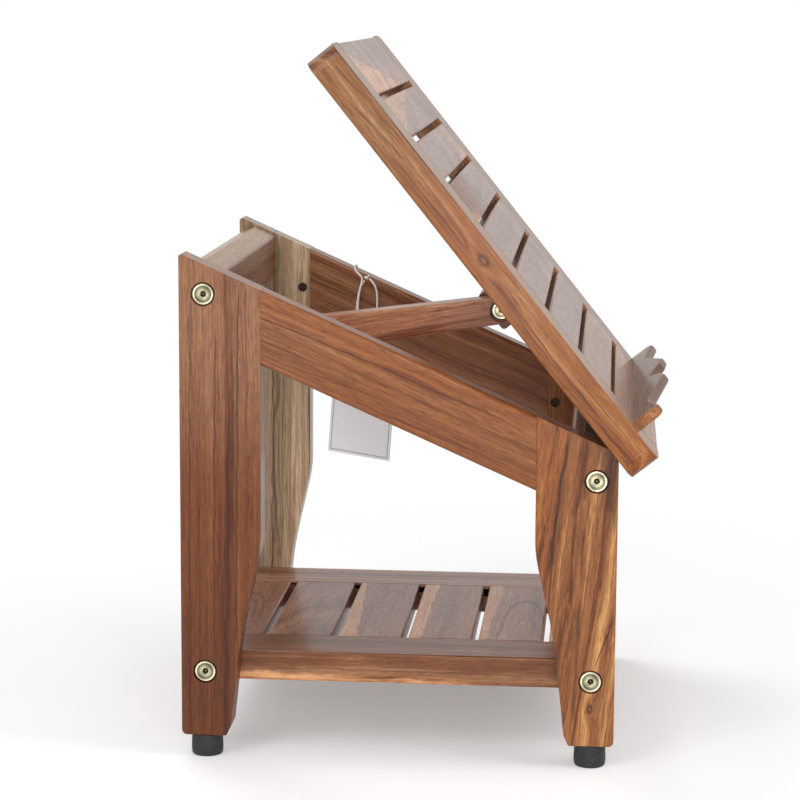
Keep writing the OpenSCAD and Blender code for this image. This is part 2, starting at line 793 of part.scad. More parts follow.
module panel_rail(far) {
    color(teak) on_panel() side(far) translate([0, -panel_over, 0]) difference() {
        intersection() {
            translate([panel_x0, 0, panel_z0]) bar_x([panel_len, panel_rail_w, panel_t], panel_ease);
            translate([0, 0, panel_z0 - cut])
                linear_extrude(panel_t + 2 * cut) polygon(rounded(panel_plan()));
        }
        panel_tenon(panel_x0 + panel_end_in, panel_end_w, panel_rail_w - slat_tenon_len, joint_gap);
        panel_tenon(panel_x1 - panel_foot_w, panel_foot_w, panel_rail_w - slat_tenon_len, joint_gap);
        for (i = [0:slat_count - 1]) panel_tenon(slat_x(i), slat_w, panel_rail_w - slat_tenon_len, joint_gap);
    }
}

// A board across the panel with a tenon at each end
module panel_board(x, width, thick) {
    y0 = panel_rail_w - panel_over;
    translate([x, y0, panel_z1 - thick]) bar_y([width, slat_span, thick], slat_ease);
    for (y = [y0 - slat_tenon_len, y0 + slat_span]) panel_tenon(x, width, y, 0);
}

module panel_end_upper() {
    color(teak_pale) on_panel() panel_board(panel_x0 + panel_end_in, panel_end_w, panel_t);
}

module panel_end_lower() {
    color(teak_pale) on_panel() difference() {
        panel_board(panel_x1 - panel_foot_w, panel_foot_w, panel_t);
        hinge_places() upper_leaf_screws(run_gap);
        lip_screw_places() {
            flat_screw(screw_head_r, screw_r, lip_screw_len, run_gap);
            cylinder(r = screw_head_r + run_gap, h = panel_t);
        }
    }
}

module panel_slat(i) {
    color(teak_pale) on_panel() difference() {
        panel_board(slat_x(i), slat_w, slat_t);
        block_screw_places() flat_screw(screw_head_r, screw_r, block_screw_len, run_gap);
    }
}

// Lip, screwed to the end rail from below

lip_screw_len = 30;
lip_screw_sunk = 6;
lip_screw_in = 15;    // from the ends of the lower end rail
lip_screw_pitch = slat_span / 2 - lip_screw_in;

module lip_screw_places() {
    for (y = [-lip_screw_pitch, 0, lip_screw_pitch])
        translate([lip_x1 - lip_t / 2, frame_w / 2 + y, panel_z0 + lip_screw_sunk])
            mirror([0, 0, 1]) children();
}

// The scalloped board, with its free edges rounded and its foot cut flat
module lip_board() {
    intersection() {
        rotate([90, 0, 90]) translate([0, 0, lip_edge]) minkowski() {
            linear_extrude(lip_t - 2 * lip_edge) offset(delta = -lip_edge) {
                polygon(lip_pts);
                translate([-lip_len / 2, -3 * lip_edge]) square([lip_len, 3 * lip_edge + cut]);
            }
            sphere(r = lip_edge, $fn = 16);
        }
        translate([-cut, -lip_len / 2 - cut, 0]) cube([lip_t + 2 * cut, lip_len + 2 * cut, lip_peak + cut]);
    }
}

module foot_lip() {
    color(teak_pale) on_panel() difference() {
        translate([lip_x1 - lip_t, frame_w / 2 + lip_off, lip_z0]) lip_board();
        lip_screw_places() flat_screw(screw_head_r, screw_r, lip_screw_len, run_gap);
    }
}

module lip_screws() {
    color(steel) on_panel() lip_screw_places() flat_screw(screw_head_r, screw_r, lip_screw_len);
}

// Block under the panel that carries the prop arm

block_screw_len = 46;
block_screw_sunk = 4;
block_screw_in = 7;

module block_screw_places() {
    for (y = [block_screw_in, block_w - block_screw_in])
        translate([block_x0 + block_screw_in, block_y0 + y, -block_deep + block_screw_sunk])
            mirror([0, 0, 1]) children();
}

module prop_block() {
    color(teak_dark) on_panel() difference() {
        upright(
            rounded([
                [block_x0, -block_deep, 3], [block_x0 + block_len, -block_deep, 3],
                [block_x0 + block_len, slat_z0, 0], [block_x0, slat_z0, 0]
            ]),
            block_y0, block_w
        );
        translate([-prop_along, block_y0 - cut, -prop_deep]) {
            rod_y(pivot_d / 2 + joint_gap, pivot_grip + 2 * cut + 1);
            rod_y(pivot_insert_r, insert_len + insert_sunk + cut);
        }
        block_screw_places() {
            flat_screw(screw_head_r, screw_r, block_screw_len, run_gap);
            cylinder(r = screw_head_r + run_gap, h = block_screw_sunk + cut);
        }
    }
}

module block_screws() {
    color(steel) on_panel() block_screw_places() flat_screw(screw_head_r, screw_r, block_screw_len);
}

pivot_insert_r = pivot_d / 2 + 2;

module block_insert() {
    color(zinc) on_panel() translate([-prop_along, block_y0 + insert_sunk, -prop_deep])
        sleeve_y(pivot_insert_r - run_gap, pivot_d / 2 + run_gap, insert_len);
}

module prop_bolt() {
    head_y = arm_y0 + pivot_recess - pivot_head_h - seat_gap;
    color(zinc) on_panel() translate([-prop_along, head_y, -prop_deep]) {
        bolt_head(pivot_head_d / 2, pivot_head_h);
        translate([0, pivot_head_h - 0.5, 0])
            rod_y(pivot_d / 2, block_y0 + pivot_grip - arm_y0 - pivot_recess + seat_gap + 0.5);
    }
}

module prop_washer() {
    color(zinc) on_panel() translate([-prop_along, arm_y1 + washer_gap, -prop_deep])
        sleeve_y(pivot_d / 2 + 4, pivot_d / 2 + run_gap, washer_t);
}

// Prop arm: two round ends joined by straight edges

function arm_outline() =
    let (r1 = arm_head_h / 2, r2 = arm_foot_h / 2, edge = acos((r2 - r1) / arm_len))
    concat(
        arc_points([0, 0], r1, -edge, edge, 20),
        arc_points([-arm_len, 0], r2, edge, 360 - edge, 22)
    );

module prop_arm() {
    color(teak) on_prop() difference() {
        upright(arm_outline(), arm_y0, arm_t);
        translate([0, arm_y0 - cut, 0]) rod_y(pivot_recess_r, pivot_recess + cut);
        translate([0, arm_y0, 0]) rod_y(pivot_d / 2 + run_gap, arm_t + cut);
        translate([-arm_len, arm_y0 - cut, 0]) rod_y(dowel_r, arm_t + 2 * cut);
    }
}

dowel_len = arm_t + 2 * (rack_gap + rack_t + dowel_over);

module prop_dowel() {
    color(teak_pale) on_prop() translate([-arm_len, (frame_w - dowel_len) / 2, 0]) rod_y(dowel_r, dowel_len);
}

// Hang tag on its string, tied round the far side rail.
// The route is drawn from the string's own frame: X along the stool from the knot, Y from the inner
// face of the far rail towards the middle of the stool, Z up from the top edge of the rail at the knot.

knot_x = 109;
tag_turn = 20;        // turn of the tag out of the plane of the rail
tag_lean = 4.5;
tag_t = 0.6;
tag_hole_r = 2.5;
tag_hole_drop = 7;
tag_at = [1, 7, -76]; // hole of the tag, in the string's frame
knot_at = [1, 3.4, -2.6];
knot_r = 2.1;

// From the knot down the right strand, through the tag, up the left strand, once round the rail
// and back to the knot
string_route = [
    [3.8, 3.5, -3.4], [5.6, 3.8, -5.2], [7.8, 4.1, -8], [9.5, 4.4, -11.6], [10.5, 4.5, -16], [10.7, 4.6, -22],
    [10.4, 4.7, -30], [9.3, 4.9, -42], [7.4, 5, -54], [5, 5, -64], [3.4, 5, -70], [2.2, 5.2, -72.6],
    [1.6, 6, -74.1], [1, 7, -74.7], [0.4, 8, -74.1], [-0.2, 8.7, -72], [-0.8, 8.7, -67], [-2, 7.8, -58],
    [-4, 6.6, -46], [-5.8, 5.4, -35], [-6, 4.6, -27], [-5.4, 4.2, -18], [-3.8, 3.8, -10], [-2.6, 3.6, -5],
    [-3, 3.2, -2], [-5, 2.5, 0], [-7, 1.9, 1.8], [-8.6, 0.9, 3.8], [-9.2, -0.9, 4.9], [-9.6, -3.2, 5.5],
    [-9.8, -11.5, 5.6], [-10, -20, 5.6], [-10, -22.6, 5], [-10, -24.2, 3.2], [-10, -24.8, 1],
    [-10, -24.8, -10],
    [-10, -24.8, -22], [-9.8, -24.8, -34], [-9.6, -24.8, -44], [-9.4, -24.4, -50], [-9.2, -22.8, -52.8],
    [-9, -20, -53.8], [-8.8, -11.5, -54], [-8.6, -3.2, -54], [-8.4, -0.8, -53.2], [-8.2, 1, -51.4],
    [-8, 1.6, -48], [-7.6, 1.6, -36], [-6.8, 1.6, -24], [-5, 1.6, -14], [-2.6, 1.6, -8], [-0.6, 1.8, -5.2]
];

function string_point(p) = [knot_x + p[0], frame_w - leg_t - p[1], top_z(knot_x) + p[2]];

// Round rings along a route, each square to the route, without twist
function ring_frame(points, i) =
    let (
        n = len(points),
        t = unit(points[min(i + 1, n - 1)] - points[max(i - 1, 0)]),
        side_dir = unit(cross(t, abs(t[0]) > 0.8 ? [0, 0, 1] : [1, 0, 0]))
    )
    [side_dir, cross(t, side_dir)];

module cord(points, r, sides) {
    rings = [for (i = [0:len(points) - 1])
        let (f = ring_frame(points, i))
        [for (k = [0:sides - 1]) let (a = 360 * k / sides) points[i] + r * (f[0] * cos(a) + f[1] * sin(a))]];
    last = (len(points) - 1) * sides;
    polyhedron(
        points = [for (ring = rings) each ring],
        faces = concat(
            [[for (k = [0:sides - 1]) k]],
            [for (i = [0:len(points) - 2], k = [0:sides - 1])
                let (a = i * sides + k, b = i * sides + (k + 1) % sides)
                each [[a, a + sides, b + sides], [a, b + sides, b]]],
            [[for (k = [sides - 1:-1:0]) last + k]]
        )
    );
}

module tag_string() {
    color(cotton) place() cord([for (p = string_route) string_point(p)], string_d / 2, 8);
}

// The knot with the short loose end of the string, which lies over the top of the rail
module string_knot() {
    color(cotton) place() translate(string_point(knot_at)) {
        sphere(r = knot_r, $fn = 24);
        rotate([35, 50, 0]) cylinder(r = string_d / 2, h = knot_r + 3, $fn = 16);
    }
}

module hang_tag() {
    at = [knot_x + tag_at[0], frame_w - leg_t - tag_at[1], top_z(knot_x) + tag_at[2]];
    color(cotton) place() translate(at) rotate([0, 0, -tag_turn]) rotate([0, tag_lean, 0])
        difference() {
            translate([-tag_w / 2, -tag_t / 2, -tag_h + tag_hole_drop]) cube([tag_w, tag_t, tag_h]);
            translate([0, -cut, 0]) rod_y(tag_hole_r, 2 * cut);
        }
}

leg(false, false);  // leg_rear_near
leg(false, true);  // leg_rear_far
leg(true, false);  // leg_front_near
leg(true, true);  // leg_front_far
rail(false);  // rail_near
rail(true);  // rail_far
crossbar_rear();
crossbar_front();
shelf_rail(false);  // shelf_rail_near
shelf_rail(true);  // shelf_rail_far
shelf_slat(0);  // shelf_slat_1
shelf_slat(1);  // shelf_slat_2
shelf_slat(2);  // shelf_slat_3
shelf_slat(3);  // shelf_slat_4
shelf_slat(4);  // shelf_slat_5
shelf_slat(5);  // shelf_slat_6
frame_bolts();
bolt_inserts();
tenon_screws();
prop_rack(false);  // prop_rack_near
prop_rack(true);  // prop_rack_far
rack_screws();
hinge_leaves_lower();
hinge_pins();
hinge_screws_lower();
foot_inserts();
panel_rail(false);  // panel_rail_near
panel_rail(true);  // panel_rail_far
panel_end_upper();
panel_end_lower();
panel_slat(0);  // panel_slat_1
panel_slat(1);  // panel_slat_2
panel_slat(2);  // panel_slat_3
panel_slat(3);  // panel_slat_4
panel_slat(4);  // panel_slat_5
panel_slat(5);  // panel_slat_6
panel_slat(6);  // panel_slat_7
foot_lip();
lip_screws();
prop_block();
block_screws();
prop_bolt();
prop_washer();
block_insert();
hinge_leaves_upper();
hinge_screws_upper();
prop_arm();
prop_dowel();
foot_pad(false, false);  // foot_pad_rear_near
foot_pad(false, true);  // foot_pad_rear_far
foot_pad(true, false);  // foot_pad_front_near
foot_pad(true, true);  // foot_pad_front_far
foot_stem(false, false);  // foot_stem_rear_near
foot_stem(false, true);  // foot_stem_rear_far
foot_stem(true, false);  // foot_stem_front_near
foot_stem(true, true);  // foot_stem_front_far
tag_string();
string_knot();
hang_tag();
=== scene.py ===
import math

import bmesh
import bpy
from mathutils import Matrix, Vector


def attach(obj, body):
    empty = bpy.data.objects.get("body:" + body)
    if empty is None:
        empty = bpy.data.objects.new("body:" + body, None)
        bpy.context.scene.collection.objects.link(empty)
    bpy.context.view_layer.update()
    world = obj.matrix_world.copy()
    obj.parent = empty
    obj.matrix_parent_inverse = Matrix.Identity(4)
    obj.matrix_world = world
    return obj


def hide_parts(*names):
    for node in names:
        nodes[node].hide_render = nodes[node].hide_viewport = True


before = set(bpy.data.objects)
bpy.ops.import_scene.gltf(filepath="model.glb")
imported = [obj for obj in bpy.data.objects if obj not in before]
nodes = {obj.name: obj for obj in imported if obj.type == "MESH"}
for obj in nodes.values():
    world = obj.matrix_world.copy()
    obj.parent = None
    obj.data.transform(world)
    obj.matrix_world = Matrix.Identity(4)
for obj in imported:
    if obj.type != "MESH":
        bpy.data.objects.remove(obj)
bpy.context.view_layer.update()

# Slatted teak stool with a tilting footrest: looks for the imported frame. Metres, in the frame's own axes.

scene = bpy.context.scene
MM = 1000.0

# Sizes in millimetres from the frame's corner at the near rear leg, as the CAD source has them
ORIGIN_X = 183.081
HALF_W = 165.0
FRAME_W = 330.0
LEG_T = 23.0
REAR_H = 386.0
SLOPE = math.radians(23.75)
SHELF_Z = 78.6
SHELF_FIRST, SHELF_PITCH = 26.5, 55.0
BOLTS = [(18, 355.36), (312, 220.34), (18, 67.1), (310, 67.1)]
AXIS = (322.5, 241.256)
TILT = math.radians(51.2)
PANEL_TOP = 26.6
PANEL_FAR = 348.0
PANEL_NEAR = -18.0
END_UPPER, END_LOWER = -338.0, -4.0
SLAT_START = -314.5
SLAT_W, SLAT_GAP = 35.07, 5.0
LIP_MID, LIP_NEAR = 178.0, -168.0
PIVOT = (232.66, 327.619)
ARM_FALL = math.radians(8.25)
STRING_D = 1.8
KNOT_X = 109.0
TAG_W, TAG_H = 59.0, 89.0
TAG_HOLE, TAG_MID = (1, 7, -76), -37.5
TAG_LEAN, TAG_TURN = math.radians(4.5), math.radians(-20)


def at(x, y, z):
    """A point given from the frame's corner in millimetres, in the row frame."""
    return Vector(((x - ORIGIN_X) / MM, (y - HALF_W) / MM, z / MM))


def top_z(x):
    """Height of the side rails' top edge."""
    return REAR_H - x * math.tan(SLOPE)


def added(name, data):
    """A new object in the scene."""
    o = bpy.data.objects.new(name, data)
    scene.collection.objects.link(o)
    return o


# Camera, as solved with the sizes from the edges and corners in the photograph

CAM_PLACE = (321.14, -1833.88, 576.03)
yaw, pitch, roll = math.radians(4.853), math.radians(9.17), math.radians(-0.336)
cam_data = bpy.data.cameras.new("camera")
cam_data.sensor_width = 36
cam_data.lens = 113.18
cam_data.clip_start = 0.05
cam_data.clip_end = 60
cam = added("camera", cam_data)
forward = Vector((-math.sin(yaw) * math.cos(pitch), math.cos(yaw) * math.cos(pitch), -math.sin(pitch)))
right = forward.cross(Vector((0, 0, 1))).normalized()
down = forward.cross(right)
cam_x = math.cos(roll) * right + math.sin(roll) * down
cam_down = -math.sin(roll) * right + math.cos(roll) * down
turn = Matrix((cam_x, -cam_down, -forward)).transposed()
cam.matrix_world = Matrix.Translation(at(*CAM_PLACE)) @ turn.to_4x4()
scene.camera = cam

# String: the route that the CAD source has, from the knot down through the tag, up, and round the far rail

route = [
    (3.8, 3.5, -3.4), (5.6, 3.8, -5.2), (7.8, 4.1, -8), (9.5, 4.4, -11.6), (10.5, 4.5, -16),
    (10.7, 4.6, -22), (10.4, 4.7, -30), (9.3, 4.9, -42), (7.4, 5, -54), (5, 5, -64), (3.4, 5, -70),
    (2.2, 5.2, -72.6), (1.6, 6, -74.1), (1, 7, -74.7), (0.4, 8, -74.1), (-0.2, 8.7, -72), (-0.8, 8.7, -67),
    (-2, 7.8, -58), (-4, 6.6, -46), (-5.8, 5.4, -35), (-6, 4.6, -27), (-5.4, 4.2, -18), (-3.8, 3.8, -10),
    (-2.6, 3.6, -5), (-3, 3.2, -2), (-5, 2.5, 0), (-7, 1.9, 1.8), (-8.6, 0.9, 3.8), (-9.2, -0.9, 4.9),
    (-9.6, -3.2, 5.5), (-9.8, -11.5, 5.6), (-10, -20, 5.6), (-10, -22.6, 5), (-10, -24.2, 3.2),
    (-10, -24.8, 1), (-10, -24.8, -10), (-10, -24.8, -22), (-9.8, -24.8, -34), (-9.6, -24.8, -44),
    (-9.4, -24.4, -50), (-9.2, -22.8, -52.8), (-9, -20, -53.8), (-8.8, -11.5, -54), (-8.6, -3.2, -54),
    (-8.4, -0.8, -53.2), (-8.2, 1, -51.4), (-8, 1.6, -48), (-7.6, 1.6, -36), (-6.8, 1.6, -24),
    (-5, 1.6, -14), (-2.6, 1.6, -8), (-0.6, 1.8, -5.2),
]
# Metres from one point to the next, and for one turn of a strand
STRING_STEP, STRING_LAY = 0.0007, 0.0052
KNOT_STEP, KNOT_LAY = 0.0004, 0.0045
# A strand's share of the string's radius, and the longest tangent for the gap that it spans
STRAND_SHARE = 0.58
TANGENT_LIMIT = 1.2
KNOT_AT = (1, 3.4, -2.6)
KNOT_STRING_R = 0.00085
KNOT_POINTS = 22
LOOSE_END = [(1.7, -1.5, 1.2), (2.4, -2.2, 2.0), (3.1, -2.8, 2.6)]


def string_point(p):
    """A point along the far rail, towards the near side and up, from its top inner edge at the knot."""
    return at(KNOT_X + p[0], FRAME_W - LEG_T - p[1], top_z(KNOT_X) + p[2])


def smooth_line(points, step):
    """Points at nearly even steps on a smooth curve through the given ones."""
    out = []
    n = len(points)
    for i in range(n - 1):
        a, b = points[max(i - 1, 0)], points[i]
        c, d = points[i + 1], points[min(i + 2, n - 1)]
        size = (c - b).length
        m0, m1 = (c - a) * 0.5, (d - b) * 0.5
        m0 *= min(1, TANGENT_LIMIT * size / max(m0.length, 1e-9))
        m1 *= min(1, TANGENT_LIMIT * size / max(m1.length, 1e-9))
        steps = max(2, round(size / step))
        for k in range(steps):
            s = k / steps
            out.append((2 * s ** 3 - 3 * s ** 2 + 1) * b + (s ** 3 - 2 * s ** 2 + s) * m0
                       + (3 * s ** 2 - 2 * s ** 3) * c + (s ** 3 - s ** 2) * m1)
    out.append(points[-1])
    for _ in range(2):
        out[1:-1] = [(a + 2 * b + c) / 4 for a, b, c in zip(out, out[1:], out[2:])]
    return out


def twisted(name, line, radius, lay, strands=3, sides=8):
    """Strands laid round a line as one string. lay is the length of one turn of a strand."""
    strand_r = radius * STRAND_SHARE
    orbit = radius - strand_r
    up = Vector((0.2, 0.9, 0.4))
    frames, run = [], 0.0
    for i, p in enumerate(line):
        d = (line[min(i + 1, len(line) - 1)] - line[max(i - 1, 0)]).normalized()
        up = (up - d * up.dot(d)).normalized()
        if i:
            run += (p - line[i - 1]).length
        frames.append((p, up.copy(), d.cross(up), run))
    angles = [2 * math.pi * k / sides for k in range(sides)]
    bm = bmesh.new()
    for s in range(strands):
        rings = []
        for p, u, v, run in frames:
            a = 2 * math.pi * (run / lay + s / strands)
            c = p + orbit * (math.cos(a) * u + math.sin(a) * v)
            rings.append([bm.verts.new(c + strand_r * (math.cos(b) * u + math.sin(b) * v)) for b in angles])
        for a, b in zip(rings, rings[1:]):
            for k in range(sides):
                bm.faces.new((a[k], a[(k + 1) % sides], b[(k + 1) % sides], b[k]))
        bm.faces.new(rings[0])
        bm.faces.new(list(reversed(rings[-1])))
    bmesh.ops.recalc_face_normals(bm, faces=bm.faces)
    for f in bm.faces:
        f.smooth = True
    me = bpy.data.meshes.new(name)
    bm.to_mesh(me)
    bm.free()
    return added(name, me)


def knot_line():
    """Turns of the same string drawn tight, and its loose end, in millimetres from the middle."""
    turns = []
    for k in range(KNOT_POINTS):
        a = k * math.pi / 8
        turns.append((1.15 * math.cos(a), math.sin(a) - 0.2, 0.95 * math.sin(a / 2 + 0.6) + 0.12 * a - 0.7))
    return turns + LOOSE_END


line = smooth_line([string_point(p) for p in route], STRING_STEP)
string = twisted("hang_string", line, STRING_D / 2 / MM, STRING_LAY)
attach(string, "frame")
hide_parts("tag_string")

knot_mid = string_point(KNOT_AT)
knot_points = [knot_mid + Vector(v) / MM for v in knot_line()]
knot = twisted("hang_knot", smooth_line(knot_points, KNOT_STEP), KNOT_STRING_R, KNOT_LAY)
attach(knot, "frame")
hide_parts("string_knot")


# Node helpers

COAT_WHITE = 0.016


def linear(r, g, b):
    """A colour written as it shows on screen, 0 to 255."""
    def one(v):
        v /= 255
        return v / 12.92 if v <= 0.04045 else ((v + 0.055) / 1.055) ** 2.4
    return (one(r), one(g), one(b), 1.0)


def under_coat(colour):
    """The clear coat shows a little white of its own, so the wood under it is that much deeper."""
    return tuple(max(v - COAT_WHITE, 0.3 * v) for v in linear(*colour)[:3]) + (1.0,)


class Tree:
    """Builds the nodes of one material or world."""

    def __init__(self, owner):
        self.owner = owner
        owner.use_nodes = True
        self.tree = owner.node_tree
        self.bsdf = self.tree.nodes.get("Principled BSDF")
        self.count = 0

    def node(self, kind, **values):
        """A new node, set out on a grid."""
        n = self.tree.nodes.new(kind)
        n.location = (-1800 + 180 * (self.count % 9), 400 - 220 * (self.count // 9))
        self.count += 1
        for k, v in values.items():
            setattr(n, k, v)
        return n

    def link(self, a, b):
        """Joins output a to input b."""
        self.tree.links.new(a, b)

    def put(self, socket, value):
        """Gives a socket a number, a colour or another node's output."""
        if isinstance(value, bpy.types.NodeSocket):
            self.link(value, socket)
        else:
            socket.default_value = value

    def fix(self, values):
        """Sets the shader's own constants."""
        for k, v in values.items():
            self.bsdf.inputs[k].default_value = v

    def surface(self, colour, rough, bump):
        """Gives the shader its colour, its roughness and its bump: height, strength and distance."""
        height, strength, distance = bump
        self.put(self.bsdf.inputs["Base Color"], colour)
        self.put(self.bsdf.inputs["Roughness"], rough)
        n = self.node("ShaderNodeBump")
        n.inputs["Strength"].default_value = strength
        n.inputs["Distance"].default_value = distance
        self.link(height, n.inputs["Height"])
        self.link(n.outputs[0], self.bsdf.inputs["Normal"])

    def math(self, op, a, b=0.0):
        """One sum on numbers."""
        n = self.node("ShaderNodeMath", operation=op)
        self.put(n.inputs[0], a)
        self.put(n.inputs[1], b)
        return n.outputs[0]

    def add(self, a, b):
        """a + b"""
        return self.math("ADD", a, b)

    def less(self, a, b):
        """a - b"""
        return self.math("SUBTRACT", a, b)

    def times(self, a, b):
        """a * b"""
        return self.math("MULTIPLY", a, b)

    def centred(self, v, by):
        """A noise's value about its middle of a half, times a number."""
        return self.times(self.less(v, 0.5), by)

    def vec(self, op, a, b=(0, 0, 0)):
        """One sum on vectors. b is a number for SCALE."""
        n = self.node("ShaderNodeVectorMath", operation=op)
        self.put(n.inputs[0], a)
        if op == "SCALE":
            self.put(n.inputs["Scale"], b)
        elif op != "LENGTH":
            self.put(n.inputs[1], b)
        return n.outputs["Value" if op in ("LENGTH", "DOT_PRODUCT") else "Vector"]

    def scatter(self, v, by):
        """A noise's colour as a shift about its middle, times a vector."""
        return self.vec("MULTIPLY", self.vec("SUBTRACT", v, (0.5, 0.5, 0.5)), by)

    def noise_node(self, p, scale, detail, rough):
        """Noise in three dimensions. scale is its cells per unit of p, along each axis."""
        n = self.node("ShaderNodeTexNoise")
        self.put(n.inputs["Vector"], self.vec("MULTIPLY", p, scale))
        n.inputs["Scale"].default_value = 1.0
        n.inputs["Detail"].default_value = detail
        n.inputs["Roughness"].default_value = rough
        return n

    def noise(self, p, scale, detail=2.0, rough=0.5):
        """One number of noise."""
        return self.noise_node(p, scale, detail, rough).outputs[0]

    def noise_colour(self, p, scale):
        """Three noises at once."""
        return self.noise_node(p, scale, 2.0, 0.5).outputs["Color"]

    def noise_1d(self, w, scale, detail=2.0, rough=0.5):
        """Noise along one number."""
        n = self.node("ShaderNodeTexNoise", noise_dimensions="1D")
        self.put(n.inputs["W"], w)
        n.inputs["Scale"].default_value = scale
        n.inputs["Detail"].default_value = detail
        n.inputs["Roughness"].default_value = rough
        return n.outputs[0]

    def span(self, v, lo, hi, to_lo=0.0, to_hi=1.0):
        """Goes smoothly from to_lo to to_hi as v goes from lo to hi."""
        n = self.node("ShaderNodeMapRange", clamp=True)
        n.interpolation_type = "SMOOTHSTEP"
        for i, x in enumerate((v, lo, hi, to_lo, to_hi)):
            self.put(n.inputs[i], x)
        return n.outputs[0]

    def ramp(self, v, stops):
        """A colour for each v, from a list of places and colours."""
        n = self.node("ShaderNodeValToRGB")
        e = n.color_ramp.elements
        e[0].position, e[0].color = stops[0]
        e[1].position, e[1].color = stops[-1]
        for pos, colour in stops[1:-1]:
            e.new(pos).color = colour
        self.put(n.inputs[0], v)
        return n.outputs[0]

    def mix(self, fac, a, b):
        """Colour a where fac is 0 and b where it is 1."""
        n = self.node("ShaderNodeMix", data_type="RGBA")
        self.put(n.inputs[0], fac)
        self.put(n.inputs[6], a)
        self.put(n.inputs[7], b)
        return n.outputs[2]

    def tint(self, fac, colour, by):
        """Multiplies a colour by another where fac is 1."""
        return self.mix(fac, colour, self.vec("MULTIPLY", colour, by))

    def split(self, v):
        """The three numbers of a vector."""
        n = self.node("ShaderNodeSeparateXYZ")
        self.link(v, n.inputs[0])
        return tuple(n.outputs)

    def join(self, x, y, z):
        """A vector of three numbers."""
        n = self.node("ShaderNodeCombineXYZ")
        for i, v in enumerate((x, y, z)):
            self.put(n.inputs[i], v)
        return n.outputs[0]

    def metres(self):
        """The place on the piece, in the frame's own axes."""
        return self.node("ShaderNodeTexCoord").outputs["Object"]

    def millimetres(self):
        """The same place in millimetres."""
        return self.vec("SCALE", self.metres(), MM)

    def place(self, origin, axes):
        """Millimetres from an origin along axes of the piece's own."""
        m = self.node("ShaderNodeMapping", vector_type="TEXTURE")
        self.link(self.metres(), m.inputs["Vector"])
        m.inputs["Location"].default_value = origin
        m.inputs["Rotation"].default_value = axes.to_euler()
        return self.vec("SCALE", m.outputs[0], MM)


def material(name):
    """A new material's tree."""
    return Tree(bpy.data.materials.new(name))


# Wood: millimetres in the piece's frame, x along the grain, y across the face that shows, z into the piece.
# A path is (x0, y0, x1, y1). Colour factors are for red, green and blue.

# Cells per millimetre along and across the grain
BEND, RIPPLE = (0.006, 0.017, 0.017), (0.03, 0.12, 0.12)
BROAD, FINE = (0.0018, 0.05, 0.05), (0.008, 0.7, 0.7)
FLECK, LINE, PORE = (0.085, 1.15, 1.15), (0.005, 0.62, 0.62), (0.11, 1.5, 1.5)
WANDER_SCALE = 0.035
# Millimetres: the full range of the ripples, how far back the rings start, and how far outside and inside
# its ends a vein fades
RIPPLE_MM = 1.4
PITH_X = 400
VEIN_OUT, VEIN_IN = 6, 10
# Strengths
RING_GAIN, BROAD_GAIN, FINE_GAIN = 1.9, 2.2, 1.3
LINE_STRENGTH = 0.45
OILED = {"Coat Weight": 0.4, "Coat Roughness": 0.2, "Specular IOR Level": 0.15}


def offset_from(t, x, y, path, wander):
    """How far y lies from a line along a path, which wanders a little."""
    x0, y0, x1, y1 = path
    slope = (y1 - y0) / (x1 - x0)
    on_line = t.add(t.times(t.less(x, x0), slope), y0)
    drift = t.noise_1d(t.add(x, 17 * y0 + x0), WANDER_SCALE)
    return t.less(y, t.add(on_line, t.centred(drift, 2 * wander)))


def draw_vein(t, c, x, y, flecks, vein, colour):
    """A dark mineral line along the grain: path, width, strength, and how broken up it is."""
    path, width, strength, broken = vein
    away = t.math("ABSOLUTE", offset_from(t, x, y, path, width * 0.8 + 0.5))
    mask = t.span(away, width * 0.2, width, strength, 0.0)
    lo, hi = min(path[0], path[2]), max(path[0], path[2])
    ends = t.times(t.span(x, lo - VEIN_OUT, lo + VEIN_IN), t.span(x, hi - VEIN_IN, hi + VEIN_OUT, 1.0, 0.0))
    ends = t.times(ends, t.span(flecks, 0.38, 0.6, 1.0 - broken, 1.0))
    return t.mix(t.times(mask, ends), c, colour)


def draw_zone(t, c, x, y, zone):
    """Wood of another tone on one side of a line: path, width of the change, side and colour factors."""
    path, soft, side, by = zone
    away = t.times(offset_from(t, x, y, path, soft + 2.0), side)
    return t.tint(t.span(away, -soft, soft), c, by)


def draw_arch(t, c, x, y, flecks, arch, colour):
    """A dark line of the figure that runs round in an arch: middle, radii, width and strength."""
    cx, cy, rx, ry, width, strength = arch
    v = t.join(t.math("DIVIDE", t.less(x, cx), rx), t.math("DIVIDE", t.less(y, cy), ry), 0.0)
    away = t.add(t.less(t.vec("LENGTH", v), 1.0), t.centred(flecks, 0.25))
    mask = t.span(t.math("ABSOLUTE", away), 0.0, width / ry, strength, 0.0)
    return t.mix(t.times(mask, t.span(x, cx - rx * 0.3, cx + rx * 0.2)), c, colour)


def round_knots(t, p, near, knots):
    """Bends the grain round each knot, and gives the distance from its middle with its size."""
    eyes = []
    for x, y, size in knots:
        gap = t.vec("LENGTH", t.vec("MULTIPLY", t.vec("SUBTRACT", p, (x, y, 0)), (0.6, 1, 0)))
        push = t.times(t.span(gap, 0.0, size * 3.5, 1.0, 0.0), size * 1.6)
        near = t.vec("ADD", near, t.join(0.0, push, 0.0))
        eyes.append((gap, size))
    return near, eyes


